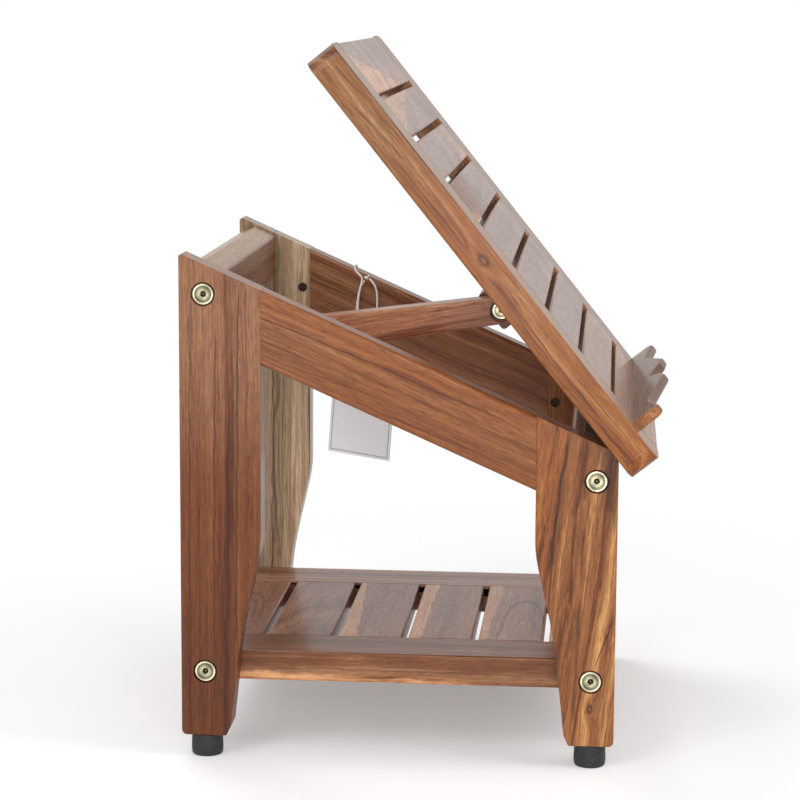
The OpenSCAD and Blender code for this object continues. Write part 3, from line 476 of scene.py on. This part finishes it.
def wood(name, origin, axes, seed, tones, ring=4.0, pith=(60, 60), cone=0.03, warp=4.0, figure=0.5,
         stripe=0.6, speckle=0.22, pores=0.5, veins=(), zones=(), arches=(), fades=(), knots=(), faces=()):
    """Oiled wood with a satin coat.

    tones are its streak, dark, middle and light colours, ring is millimetres from one growth ring to the
    next, and pith is how far the origin lies from the middle of the tree, across and into the piece. cone is
    how fast the rings change along the grain, and warp how far the grain wanders. figure, stripe, speckle
    and pores are strengths. A fade gives a start and an end along the grain and the colour factors past its
    end, and a knot its middle and size. A face gives an outward direction and colour factors for painted
    light: faces turned that way are drawn lighter, darker or greyer, as painted shade and painted sheen.
    """
    t = material(name)
    streak, dark, middle, light = [under_coat(v) for v in tones]
    p = t.place(origin, axes)
    shifted = t.vec("ADD", p, (137.0 * seed % 911, 211.0 * seed % 773, 71.0 * seed % 397))
    bend = t.scatter(t.noise_colour(shifted, BEND), (0, 4 * warp, 4 * warp))
    near = t.vec("ADD", p, t.scatter(t.noise_colour(shifted, RIPPLE), (0, RIPPLE_MM, RIPPLE_MM)))
    near, eyes = round_knots(t, p, near, knots)

    # Growth rings round a pith outside the piece, broad stripes, and flecks as long as the vessels
    from_pith = t.vec("ADD", t.vec("ADD", near, bend), (PITH_X, pith[0], pith[1]))
    rings = t.noise_1d(t.vec("LENGTH", t.vec("MULTIPLY", from_pith, (cone, 1, 1))), 1 / ring, 2.5, 0.6)
    wavy = t.vec("ADD", shifted, bend)
    flecks = t.noise(shifted, FLECK, 3.0, 0.72)
    level = t.centred(rings, RING_GAIN * figure)
    level = t.add(level, t.centred(t.noise(wavy, BROAD, 3.0, 0.55), BROAD_GAIN * stripe))
    level = t.add(level, t.centred(t.noise(wavy, FINE, 3.0, 0.6), FINE_GAIN * stripe))
    c = t.ramp(t.add(level, 0.5), [(0.12, dark), (0.46, middle), (0.58, middle), (0.9, light)])

    # What this piece alone shows
    x, y, _ = t.split(near)
    for zone in zones:
        c = draw_zone(t, c, x, y, zone)
    for start, end, by in fades:
        c = t.tint(t.span(t.split(p)[0], start, end), c, by)
    # Painted light by face direction: faces turned towards outward are tinted, as painted shade and painted
    # sheen
    for outward, by in faces:
        normal = t.node("ShaderNodeTexCoord").outputs["Normal"]
        c = t.tint(t.span(t.vec("DOT_PRODUCT", normal, tuple(outward)), 0.6, 0.95), c, by)
    for arch in arches:
        c = draw_arch(t, c, x, y, flecks, arch, streak)
    for vein in veins:
        c = draw_vein(t, c, x, y, flecks, vein, streak)

    # Fine dark lines, flecks, pores and the eyes of knots
    lines = t.span(t.noise(wavy, LINE, 2.5, 0.6), 0.54, 0.68)
    lines = t.times(lines, t.span(flecks, 0.3, 0.6, 0.4, 1.0))
    c = t.mix(t.times(lines, LINE_STRENGTH), c, streak)
    c = t.vec("SCALE", c, t.span(flecks, 0.28, 0.72, 1.0 - speckle, 1.0 + 0.9 * speckle))
    pore = t.span(t.noise(shifted, PORE, 1.5), 0.6, 0.7)
    c = t.mix(t.times(pore, pores), c, streak)
    for gap, size in eyes:
        c = t.mix(t.span(gap, size * 0.4, size * 1.1, 0.8, 0.0), c, streak)
        c = t.mix(t.span(gap, 0.0, size * 0.55, 0.85, 0.0), c, middle)
    t.surface(c, t.span(flecks, 0.3, 0.7, 0.55, 0.42), (t.less(t.times(flecks, 0.5), pore), 0.2, 0.00012))
    t.fix(OILED)
    return t.owner


def finish_as(name, mat):
    """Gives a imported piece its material."""
    slots = nodes[name].data.materials
    slots.clear()
    slots.append(mat)


def teak(piece, origin, axes, seed, tones, **look):
    """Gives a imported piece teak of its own."""
    finish_as(piece, wood("teak_" + piece, origin, axes, seed, tones, **look))


def axes_of(along, across):
    """Rotation whose first axis runs along the grain and whose second is nearest to across."""
    x = Vector(along).normalized()
    z = x.cross(Vector(across)).normalized()
    return Matrix((x, z.cross(x), z)).transposed()


def leaning(angle):
    """Directions along and across a part that falls by an angle towards the front."""
    return Vector((math.cos(angle), 0, -math.sin(angle))), Vector((math.sin(angle), 0, math.cos(angle)))


def panel_at(x, y, z):
    """A point in millimetres along, across and above the panel, from the hinge's axis."""
    return at(AXIS[0], y, AXIS[1]) + panel_x * (x / MM) + panel_up * (z / MM)


X, Y, Z = (1, 0, 0), (0, 1, 0), (0, 0, 1)
UPRIGHT, ACROSS, ALONG = axes_of(Z, X), axes_of(Y, X), axes_of(X, Y)
panel_x, panel_up = leaning(TILT)
SIDE_RAIL = axes_of(*leaning(SLOPE))
PANEL_EDGE = axes_of(panel_x, panel_up)
PANEL_ACROSS = axes_of(Y, panel_x)

# Side frames

# Darker towards the bottom
teak("leg_rear_near", at(0, 0, 0), UPRIGHT, 1,
     [(68, 36, 26), (108, 66, 46), (150, 107, 80), (186, 146, 113)],
     ring=5.0, pith=(60, 90), cone=0.01, warp=2.0, figure=0.35, stripe=0.55, speckle=0.26, pores=0.55,
     veins=[((359, 44.6, 90, 42), 1.0, 0.85, 0.6), ((328, 27, 40, 25), 0.9, 0.75, 0.6),
            ((344, 8, 60, 6), 0.9, 0.65, 0.7), ((250, 36, 60, 35), 2.6, 0.55, 0.5),
            ((310, 40, 150, 40), 1.6, 0.45, 0.6), ((200, 14, 30, 14), 0.9, 0.6, 0.6),
            ((180, 11, 30, 10), 0.6, 0.5, 0.7), ((170, 31, 40, 30), 0.7, 0.6, 0.5),
            ((120, 20, 30, 20), 0.6, 0.5, 0.6)],
     fades=[(330, 190, (0.61, 0.39, 0.2)), (180, 60, (0.76, 0.68, 0.45))])
teak("leg_front_near", at(282.2, 0, 193.2), axes_of((0.12, 0, 0.993), X), 2,
     [(50, 28, 14), (100, 58, 32), (150, 96, 60), (190, 139, 88)],
     ring=7.0, pith=(46, 34), cone=0.07, warp=6.0, figure=0.65, stripe=0.8, speckle=0.3, pores=0.5,
     zones=[((-60, 0.5, 70, 0), 0.8, -1, (1.02, 0.9, 0.76)), ((20, 36, 80, 14), 5.0, 1, (0.5, 0.5, 0.5)),
            ((-150, 30, 30, 34), 3.0, 1, (1.08, 1.12, 1.15))],
     veins=[((-45, 0.5, 62, 0.5), 2.0, 0.85, 0.25), ((-40, 3.5, 30, 3), 2.5, 0.4, 0.6),
            ((-112, 43.8, -68, 53.6), 0.6, 0.9, 0.1), ((-65, 27, -152, 33), 2.4, 0.6, 0.4),
            ((-30, 12, -110, 12), 2.0, 0.45, 0.6), ((40, 18, -60, 20), 1.8, 0.4, 0.7),
            ((10, 30, -60, 34), 1.6, 0.4, 0.7)],
     knots=[(-142.5, 45, 3.0)])
teak("leg_rear_far", at(0, FRAME_W, 0), UPRIGHT, 3,
     [(74, 54, 40), (124, 98, 74), (176, 148, 118), (206, 180, 150)],
     ring=5.5, pith=(50, -70), cone=0.02, warp=4.0, figure=0.6, stripe=0.9, pores=0.4,
     veins=[((380, 30, 60, 27.5), 1.4, 0.75, 0.4), ((330, 38, 90, 36), 0.9, 0.6, 0.5),
            ((300, 45, 90, 43), 0.6, 0.5, 0.7)],
     zones=[((60, 36, 380, 40), 5.0, -1, (0.8, 0.82, 0.84))])
teak("leg_front_far", at(267, FRAME_W, 0), UPRIGHT, 4,
     [(70, 36, 20), (96, 56, 32), (134, 84, 50), (170, 120, 78)], stripe=0.6)
teak("rail_near", at(0, 0, REAR_H), SIDE_RAIL, 5,
     [(78, 38, 28), (108, 65, 42), (144, 96, 66), (178, 130, 92)],
     ring=5.0, pith=(-70, 90), cone=0.02, warp=3.0, figure=0.4, stripe=0.5, speckle=0.28, pores=0.55,
     veins=[((66, -19, 150, -15.5), 1.0, 0.8, 0.6), ((140, -15.6, 290, -13), 1.3, 0.8, 0.5),
            ((170, -13.5, 262, -13), 2.4, 0.6, 0.8), ((80, -34, 200, -31), 1.6, 0.35, 0.6),
            ((110, -42, 160, -38.5), 1.0, 0.6, 0.7), ((175, -47, 262, -43.5), 0.9, 0.7, 0.7),
            ((70, -9, 170, -8), 0.7, 0.5, 0.8), ((200, -26, 300, -24), 1.2, 0.4, 0.6)],
     zones=[((150, -15, 300, -13.5), 3.0, 1, (1.04, 0.93, 0.82)),
            ((66, -40, 300, -42), 4.0, -1, (0.94, 0.86, 0.8))],
     fades=[(90, 180, (0.97, 0.87, 0.65))])
teak("rail_far", at(0, FRAME_W, REAR_H), SIDE_RAIL, 6,
     [(58, 30, 22), (100, 60, 40), (142, 97, 69), (174, 130, 98)],
     ring=5.0, pith=(60, -70), warp=3.0, figure=0.5, stripe=0.8,
     veins=[((70, -24, 200, -20), 1.6, 0.6, 0.5), ((90, -36, 300, -32), 1.4, 0.5, 0.6),
            ((180, -12, 300, -12), 1.0, 0.5, 0.6)],
     fades=[(120, 180, (0.9, 0.72, 0.5))])

# Crossbars and shelf

SHELF_TONES = [(56, 36, 30), (104, 74, 61), (140, 102, 85), (168, 132, 112)]
SAPWOOD = (2.3, 2.5, 2.0)

# Its face towards the front (+X) is drawn darker: painted shade
teak("crossbar_rear", at(17, HALF_W, 360), ACROSS, 7,
     [(92, 58, 40), (136, 98, 68), (174, 134, 98), (208, 172, 134)],
     ring=5.0, pith=(20, 50), cone=0.06, figure=0.5, stripe=0.5, speckle=0.18,
     faces=[(X, (0.86, 0.73, 0.72))])
teak("crossbar_front", at(305, HALF_W, 240), ACROSS, 8,
     [(70, 40, 26), (110, 70, 46), (150, 100, 68), (184, 136, 98)])
teak("shelf_rail_near", at(0, LEG_T, SHELF_Z), axes_of(X, (0, 1, 1)), 9,
     [(58, 32, 24), (90, 53, 36), (129, 83, 57), (160, 115, 83)],
     ring=4.5, pith=(-40, 40), cone=0.02, warp=2.5, figure=0.5, stripe=0.8, speckle=0.24,
     veins=[((30, 20, 300, 21), 1.0, 0.7, 0.4), ((80, 27, 300, 26), 1.3, 0.6, 0.5),
            ((40, 13, 200, 12), 0.9, 0.55, 0.6), ((60, -9, 300, -10), 0.7, 0.5, 0.6),
            ((30, -5, 180, -4), 0.8, 0.4, 0.7)],
     zones=[((30, -11.2, 190, -14.6), 1.2, -1, (2.3, 2.5, 2.6))])
teak("shelf_rail_far", at(0, 255, SHELF_Z), ALONG, 10, SHELF_TONES,
     ring=4.5, pith=(40, 40), warp=2.0, stripe=0.8,
     veins=[((20, 30, 300, 32), 0.9, 0.6, 0.5), ((20, 20, 300, 18), 1.2, 0.5, 0.6)],
     fades=[(110, 60, (1.25, 1.1, 0.9))])

shelf_looks = {
    1: dict(fades=[(-200, 200, (1.15, 1.0, 0.85))],
            arches=[(-40, 0, 60, 9, 2.0, 0.5), (-40, 0, 84, 15, 2.0, 0.4)]),
    2: dict(figure=0.5, cone=0.14, warp=7.0, arches=[(10, 6, 42, 14, 1.4, 0.4)],
            zones=[((-100, 6, 60, -8), 6.0, -1, (1.25, 1.2, 1.12))]),
    3: dict(zones=[((-92, -10, 90, -20), 1.2, -1, SAPWOOD)], arches=[(34, 8, 30, 9, 1.0, 0.5)]),
    4: dict(zones=[((-92, -15, 90, -13), 1.0, -1, SAPWOOD)]),
    5: dict(zones=[((-92, -19, 90, -12), 1.2, -1, (1.9, 2.0, 1.75))],
            veins=[((-82, -10, -34, -8), 2.0, 0.75, 0.3)],
            arches=[(-40, 8, 78, 16, 1.8, 0.75), (-60, 10, 40, 9, 1.2, 0.3)]),
    6: dict(zones=[((-92, -19, 90, -17), 1.0, -1, SAPWOOD)]),
}
for k, look in shelf_looks.items():
    plain = dict(ring=5.0, pith=(8 * (k - 3), 45), cone=0.06, warp=3.0, figure=0.25, stripe=0.5, speckle=0.2)
    teak(f"shelf_slat_{k}", at(SHELF_FIRST + SHELF_PITCH * (k - 1), HALF_W, SHELF_Z), ACROSS, 12 + k,
         SHELF_TONES, **{**plain, **look})

# Panel: the near side rail shows its edge, the slats and end rails their top

# The slats' greyish lilac tones are the wood's colour with a painted sheen of the white light above mixed in
SLAT_TONES_WITH_SHEEN = [(78, 58, 50), (114, 88, 78), (146, 118, 106), (174, 146, 132)]
PEACH = (1.65, 1.42, 1.05)

# Its top face is drawn greyer and bluer: painted sheen of the white light above
teak("panel_rail_near", panel_at(0, PANEL_NEAR, 0), PANEL_EDGE, 20,
     [(70, 32, 17), (111, 61, 31), (150, 93, 51), (182, 128, 80)],
     ring=5.0, pith=(-50, 60), cone=0.02, warp=3.0, figure=0.5, stripe=0.55, speckle=0.24, pores=0.55,
     veins=[((-350, 18, -318, 21), 0.9, 0.85, 0.5), ((-322, 11.5, -262, 16), 1.6, 0.6, 0.5),
            ((-240, 17, -180, 15.5), 2.0, 0.6, 0.5), ((-306, 21, -282, 23.5), 0.6, 0.8, 0.2),
            ((-110, 12.6, -84, 11), 0.9, 0.9, 0.4), ((-84, 10.5, -30, 11.5), 1.1, 0.9, 0.4),
            ((-30, 8.5, 4, 9), 1.1, 0.85, 0.4), ((-160, 14, -100, 12), 1.6, 0.5, 0.6),
            ((-60, 17, 10, 18), 0.8, 0.6, 0.6), ((-290, 7, -200, 8), 0.9, 0.5, 0.7)],
     knots=[(-172, 16.0, 4.6)],
     fades=[(-20, 20, (1.0, 0.88, 0.75)), (-200, -300, (1.03, 1.38, 2.4)), (-350, -368, (0.62, 0.5, 0.42))],
     faces=[(panel_up, (1.0, 1.3, 2.1))])
# Its top face is drawn darker and greyer: painted shade with a painted sheen
teak("panel_rail_far", panel_at(0, PANEL_FAR, 0), PANEL_EDGE, 21,
     [(84, 46, 28), (124, 78, 48), (166, 116, 78), (198, 150, 110)],
     faces=[(panel_up, (0.6, 0.66, 1.0))])

slat_looks = {
    1: dict(zones=[((-140, 12, 60, -18), 2.5, -1, PEACH)], warp=8.0),
    2: dict(zones=[((-60, -30, 120, 8), 3.0, -1, (1.2, 1.15, 1.08)), ((20, 22, 150, 2), 2.0, 1, PEACH)]),
    3: dict(zones=[((-140, 8, -40, 24), 2.0, 1, PEACH)], arches=[(-20, -4, 60, 12, 1.0, 0.35)]),
    4: dict(arches=[(30, 2, 70, 12, 1.0, 0.35)]),
    5: dict(zones=[((-100, -10, 120, -22), 3.0, -1, (1.15, 1.1, 1.02))]),
    6: dict(arches=[(-50, 4, 50, 10, 1.4, 0.4), (-20, 0, 90, 15, 1.4, 0.3)], warp=9.0),
    7: dict(zones=[((-140, 30, 140, 24), 4.0, -1, (1.05, 0.9, 0.74))]),
}
for k, look in slat_looks.items():
    x = SLAT_START + SLAT_GAP + (SLAT_W + SLAT_GAP) * (k - 1) + SLAT_W / 2
    plain = dict(ring=6.0, pith=(6 * (k % 3 - 1), 36 + 7 * (3 * k % 5)), cone=0.1 + 0.03 * (k % 3), warp=5.0,
                 figure=0.4, stripe=0.45, speckle=0.14, pores=0.3)
    teak(f"panel_slat_{k}", panel_at(x, HALF_W, PANEL_TOP), PANEL_ACROSS, 30 + k,
         SLAT_TONES_WITH_SHEEN, **{**plain, **look})
teak("panel_end_upper", panel_at(END_UPPER, HALF_W, PANEL_TOP), PANEL_ACROSS, 40, SLAT_TONES_WITH_SHEEN,
     ring=6.0, pith=(0, 36), cone=0.2, warp=8.0, stripe=0.4, speckle=0.14, pores=0.3,
     zones=[((-150, -16, 0, 12), 1.5, 1, (1.65, 1.5, 1.28)), ((20, 6, 150, 14), 1.5, 1, (1.3, 1.22, 1.1))])
teak("panel_end_lower", panel_at(END_LOWER, HALF_W, PANEL_TOP), PANEL_ACROSS, 41,
     [(72, 46, 33), (112, 78, 57), (150, 108, 82), (182, 140, 110)], stripe=0.5, speckle=0.14)
teak("foot_lip", panel_at(0, LIP_MID, PANEL_TOP), axes_of(Y, panel_up), 42,
     [(54, 32, 22), (80, 52, 35), (108, 74, 52), (144, 105, 75)],
     ring=5.0, pith=(-50, 40), cone=0.08, warp=6.0, figure=0.5, stripe=0.5, speckle=0.2,
     fades=[(LIP_NEAR + 12, LIP_NEAR + 3, (2.3, 2.1, 1.6))])

# Prop

BLOCK_TONES = [(66, 40, 26), (98, 62, 40), (136, 92, 62), (168, 124, 88)]
BLOCK_AT = at(150, 150, 320)

teak("prop_arm", at(PIVOT[0], 154, PIVOT[1]), axes_of(*leaning(-ARM_FALL)), 50,
     [(80, 36, 28), (132, 76, 54), (182, 126, 92), (212, 162, 122)],
     ring=5.0, pith=(50, 60), warp=5.0, figure=0.55, stripe=0.7, speckle=0.3,
     zones=[((-130, -10, 0, 6), 6.0, -1, (0.74, 0.66, 0.7))],
     veins=[((-120, 4, -40, 6), 1.0, 0.5, 0.7), ((-70, -6, 0, -4), 1.6, 0.5, 0.7)])
teak("prop_block", BLOCK_AT, ACROSS, 51, BLOCK_TONES)
teak("prop_rack_near", BLOCK_AT, ALONG, 52, BLOCK_TONES)
teak("prop_rack_far", BLOCK_AT, ALONG, 53, BLOCK_TONES)
finish_as("prop_dowel", wood(
    "beech_dowel", at(66, HALF_W, 303), ACROSS, 55,
    [(140, 104, 72), (166, 128, 92), (196, 158, 118), (216, 182, 144)], ring=3.0, speckle=0.1, pores=0.15))


# Metal, rubber, card and cotton. A bolt's rings are drawn on what lies within HEAD_REACH of its axis.

HEAD_REACH, HEAD_R = 12.0, 10.0


def metal(name, colour, rough):
    """Plated steel with cloudy plating and fine rolling marks."""
    t = material(name)
    p = t.millimetres()
    clouds = t.noise(p, (0.12, 0.12, 0.12), 3.0)
    marks = t.noise(p, (0.9, 0.9, 0.9))
    full = linear(*colour)
    dull = tuple(v * 0.8 for v in full[:3]) + (1.0,)
    t.surface(t.mix(t.span(clouds, 0.35, 0.65), full, dull),
              t.span(marks, 0.3, 0.7, rough - 0.08, rough + 0.1), (marks, 0.12, 0.00005))
    t.fix({"Metallic": 1.0})
    return t.owner


def turned_zinc(name, centres, scale=1.0):
    """Yellow zinc on heads turned on a lathe, drawn with rings of painted shade in the socket and at the
    outer edge, and a painted highlight on the rim.
    """
    t = material(name)
    p = t.millimetres()
    out = (0, 0, 0)
    for x, z in centres:
        c = at(x, 0, z) * MM
        here = t.vec("MULTIPLY", t.vec("SUBTRACT", p, (c.x, 0, c.z)), (1, 0, 1))
        out = t.vec("ADD", t.vec("SCALE", here, t.math("LESS_THAN", t.vec("LENGTH", here), HEAD_REACH)), out)
    wear = t.noise(p, (0.5, 0.5, 0.5), 3.0)
    near = t.add(t.math("DIVIDE", t.vec("LENGTH", out), HEAD_R * scale), t.centred(wear, 0.03))
    # From the middle out: a painted reflection in the socket, painted shade in it, straw and olive bands, a
    # painted highlight on the rim and painted shade at the outer edge
    painted_shade, olive = linear(40, 34, 25), linear(130, 126, 95)
    straw, rim_highlight = linear(192, 187, 155), linear(240, 236, 212)
    c = t.ramp(near, [(0.0, straw), (0.07, painted_shade), (0.2, painted_shade), (0.25, straw), (0.4, straw), (0.48, olive),
                      (0.62, olive), (0.68, rim_highlight), (0.78, rim_highlight), (0.83, painted_shade)])
    # Painted highlight: two lighter wedges and two darker ones, set by direction round each head, stand in
    # for its turned rings catching the light
    dx, _, dz = t.split(t.vec("NORMALIZE", out))
    glint_side = t.add(t.times(dx, -0.8), t.times(dz, 0.6))
    c = t.vec("SCALE", c, t.span(t.math("ABSOLUTE", glint_side), 0.1, 0.95, 0.62, 1.1))
    t.surface(c, t.span(wear, 0.3, 0.7, 0.2, 0.34), (wear, 0.08, 0.00005))
    t.fix({"Metallic": 1.0})
    return t.owner


def rubber():
    """Black rubber with scuffs and a grain of dust."""
    t = material("foot_rubber")
    p = t.millimetres()
    speck = t.noise(p, (0.7, 0.7, 0.7), 4.0, 0.7)
    scuff = t.noise(p, (0.09, 0.09, 0.24), 4.0, 0.6)
    c = t.mix(t.span(speck, 0.35, 0.7), linear(38, 38, 40), linear(54, 54, 56))
    c = t.mix(t.span(scuff, 0.55, 0.75, 0.0, 0.5), c, linear(76, 76, 78))
    t.surface(c, t.span(scuff, 0.4, 0.7, 0.5, 0.72), (speck, 0.25, 0.0001))
    t.fix({"Specular IOR Level": 0.3})
    return t.owner


def card():
    """Plain white card with a thin grey line round its border."""
    t = material("tag_card")
    turned = Matrix.Rotation(TAG_TURN, 3, "Z") @ Matrix.Rotation(TAG_LEAN, 3, "Y")
    p = t.place(string_point(TAG_HOLE), turned)
    x, _, z = t.split(p)
    side = t.less(TAG_W / 2, t.math("ABSOLUTE", x))
    end = t.less(TAG_H / 2, t.math("ABSOLUTE", t.less(z, TAG_MID)))
    edge = t.math("MINIMUM", side, end)
    border = t.times(t.span(edge, 1.9, 2.2), t.span(edge, 2.6, 2.9, 1.0, 0.0))
    pulp = t.noise(p, (0.26, 0.26, 0.26), 4.0, 0.7)
    c = t.mix(t.span(pulp, 0.3, 0.7), linear(252, 252, 254), linear(246, 245, 248))
    c = t.mix(t.times(border, 0.85), c, linear(112, 114, 108))
    c = t.mix(t.span(edge, 0.0, 0.5, 0.3, 0.0), c, linear(160, 156, 150))
    t.surface(c, 0.5, (pulp, 0.1, 0.00005))
    return t.owner


def cotton():
    """White cotton, a little soiled and fuzzy."""
    t = material("cotton_string")
    p = t.millimetres()
    fuzz = t.noise(p, (2.6, 2.6, 2.6), 4.0, 0.7)
    soil = t.noise(p, (0.06, 0.06, 0.06))
    c = t.mix(t.span(fuzz, 0.3, 0.7), linear(224, 218, 210), linear(250, 247, 243))
    c = t.mix(t.span(soil, 0.5, 0.75, 0.0, 0.25), c, linear(206, 198, 186))
    t.surface(c, 0.85, (fuzz, 0.5, 0.0002))
    t.fix({"Sheen Weight": 0.3})
    return t.owner


finish_as("frame_bolts", turned_zinc("yellow_zinc_bolts", BOLTS))
finish_as("prop_bolt", turned_zinc("yellow_zinc_prop_bolt", [PIVOT], 0.9))
finish_as("prop_washer", metal("yellow_zinc_washer", (206, 198, 152), 0.28))
finish_as("tenon_screws", metal("dark_screw", (58, 52, 48), 0.5))
plain_zinc = metal("plain_zinc", (196, 197, 198), 0.3)
for name in ("bolt_inserts", "block_insert", "foot_inserts"):
    finish_as(name, plain_zinc)
steel = metal("rolled_steel", (168, 168, 170), 0.34)
for name in ("rack_screws", "lip_screws", "block_screws", "hinge_pins",
             "hinge_screws_lower", "hinge_screws_upper"):
    finish_as(name, steel)
# The hinge leaves are drawn dark brown: painted shade where they sit in the hinge gap
for side in ("lower", "upper"):
    finish_as("hinge_leaves_" + side, metal("steel_in_painted_shade_" + side, (104, 92, 82), 0.45))
rubber_mat = rubber()
for end in ("rear_near", "rear_far", "front_near", "front_far"):
    finish_as("foot_pad_" + end, rubber_mat)
    finish_as("foot_stem_" + end, steel)
finish_as("hang_tag", card())
cotton_mat = cotton()
string.data.materials.append(cotton_mat)
knot.data.materials.append(cotton_mat)

# Softened arrises on the wooden pieces, in metres, by the start of their names

WELD_WITHIN = 0.00001
FLAT_ANGLE = math.radians(0.3)
ARRIS_ANGLE = math.radians(40)
ease = {"leg_": 0.0009, "rail_": 0.0005, "crossbar_": 0.0006, "shelf_": 0.0005, "panel_": 0.0005,
        "prop_arm": 0.0009, "prop_block": 0.0006}
for name, node in nodes.items():
    width = next((v for k, v in ease.items() if name.startswith(k)), None)
    if width:
        weld = node.modifiers.new("weld", "WELD")
        weld.merge_threshold = WELD_WITHIN
        flat = node.modifiers.new("flat", "DECIMATE")
        flat.decimate_type = "DISSOLVE"
        flat.angle_limit = FLAT_ANGLE
        bevel = node.modifiers.new("arris", "BEVEL")
        bevel.width = width
        bevel.segments = 2
        bevel.limit_method = "ANGLE"
        bevel.angle_limit = ARRIS_ANGLE
        bevel.harden_normals = True

# Floor, surroundings and light. A lamp is its place, its size and its power.

FLOOR_HALF = 6
FLOOR_GREY = (0.86, 0.86, 0.86, 1)
FLOOR_GLOW = 0.24
GLOW_FROM, GLOW_FULL = 0.3, 0.75
SKY_LIGHT = 0.46
AIM = Vector((0, 0, 0.25))
LAMPS = {
    "key": ((-0.9, -1.6, 1.5), 1.0, 11),
    "front": ((0.35, -2.1, 0.55), 0.9, 17),
    "top": ((-0.8, 0.9, 2.0), 1.0, 12),
    "side": ((1.6, -0.4, 1.5), 1.0, 12),
}


def seen(t):
    """1 for what the camera, a mirror or a glass shows, 0 for what only lights the object."""
    rays = t.node("ShaderNodeLightPath").outputs
    shown = t.math("MAXIMUM", rays["Is Camera Ray"], rays["Is Glossy Ray"])
    return t.math("MAXIMUM", shown, rays["Is Transmission Ray"])


def white_floor():
    """White, with the object's shadow near it, and glowing into the white of the background further out."""
    t = material("floor_white")
    t.fix({"Base Color": FLOOR_GREY, "Roughness": 0.9, "Specular IOR Level": 0.0})
    shown = seen(t)
    low = t.node("ShaderNodeEmission")
    t.link(t.times(shown, FLOOR_GLOW), low.inputs["Strength"])
    both = t.node("ShaderNodeAddShader")
    t.link(t.bsdf.outputs[0], both.inputs[0])
    t.link(low.outputs[0], both.inputs[1])
    far = t.span(t.vec("LENGTH", t.vec("MULTIPLY", t.metres(), (1, 0.8, 0))), GLOW_FROM, GLOW_FULL)
    blend = t.node("ShaderNodeMixShader")
    t.link(t.times(far, shown), blend.inputs[0])
    t.link(both.outputs[0], blend.inputs[1])
    t.link(t.node("ShaderNodeEmission").outputs[0], blend.inputs[2])
    t.link(blend.outputs[0], t.tree.nodes["Material Output"].inputs["Surface"])
    return t.owner


floor_data = bpy.data.meshes.new("floor")
corners = [(x * FLOOR_HALF, y * FLOOR_HALF, 0) for x, y in ((-1, -1), (1, -1), (1, 1), (-1, 1))]
floor_data.from_pydata(corners, [], [(0, 1, 2, 3)])
floor_data.materials.append(white_floor())
floor = added("floor", floor_data)

world = bpy.data.worlds.new("studio")
scene.world = world
sky = Tree(world)
back = world.node_tree.nodes["Background"]
back.inputs["Color"].default_value = (1, 1, 1, 1)
sky.link(sky.span(seen(sky), 0.0, 1.0, SKY_LIGHT, 1.0), back.inputs["Strength"])

for name, (where, size, power) in LAMPS.items():
    data = bpy.data.lights.new(name, "AREA")
    data.shape = "SQUARE"
    data.size = size
    data.energy = power
    lamp = added(name, data)
    lamp.location = where
    lamp.rotation_euler = (AIM - Vector(where)).to_track_quat("-Z", "Y").to_euler()

scene.view_settings.view_transform = "Standard"
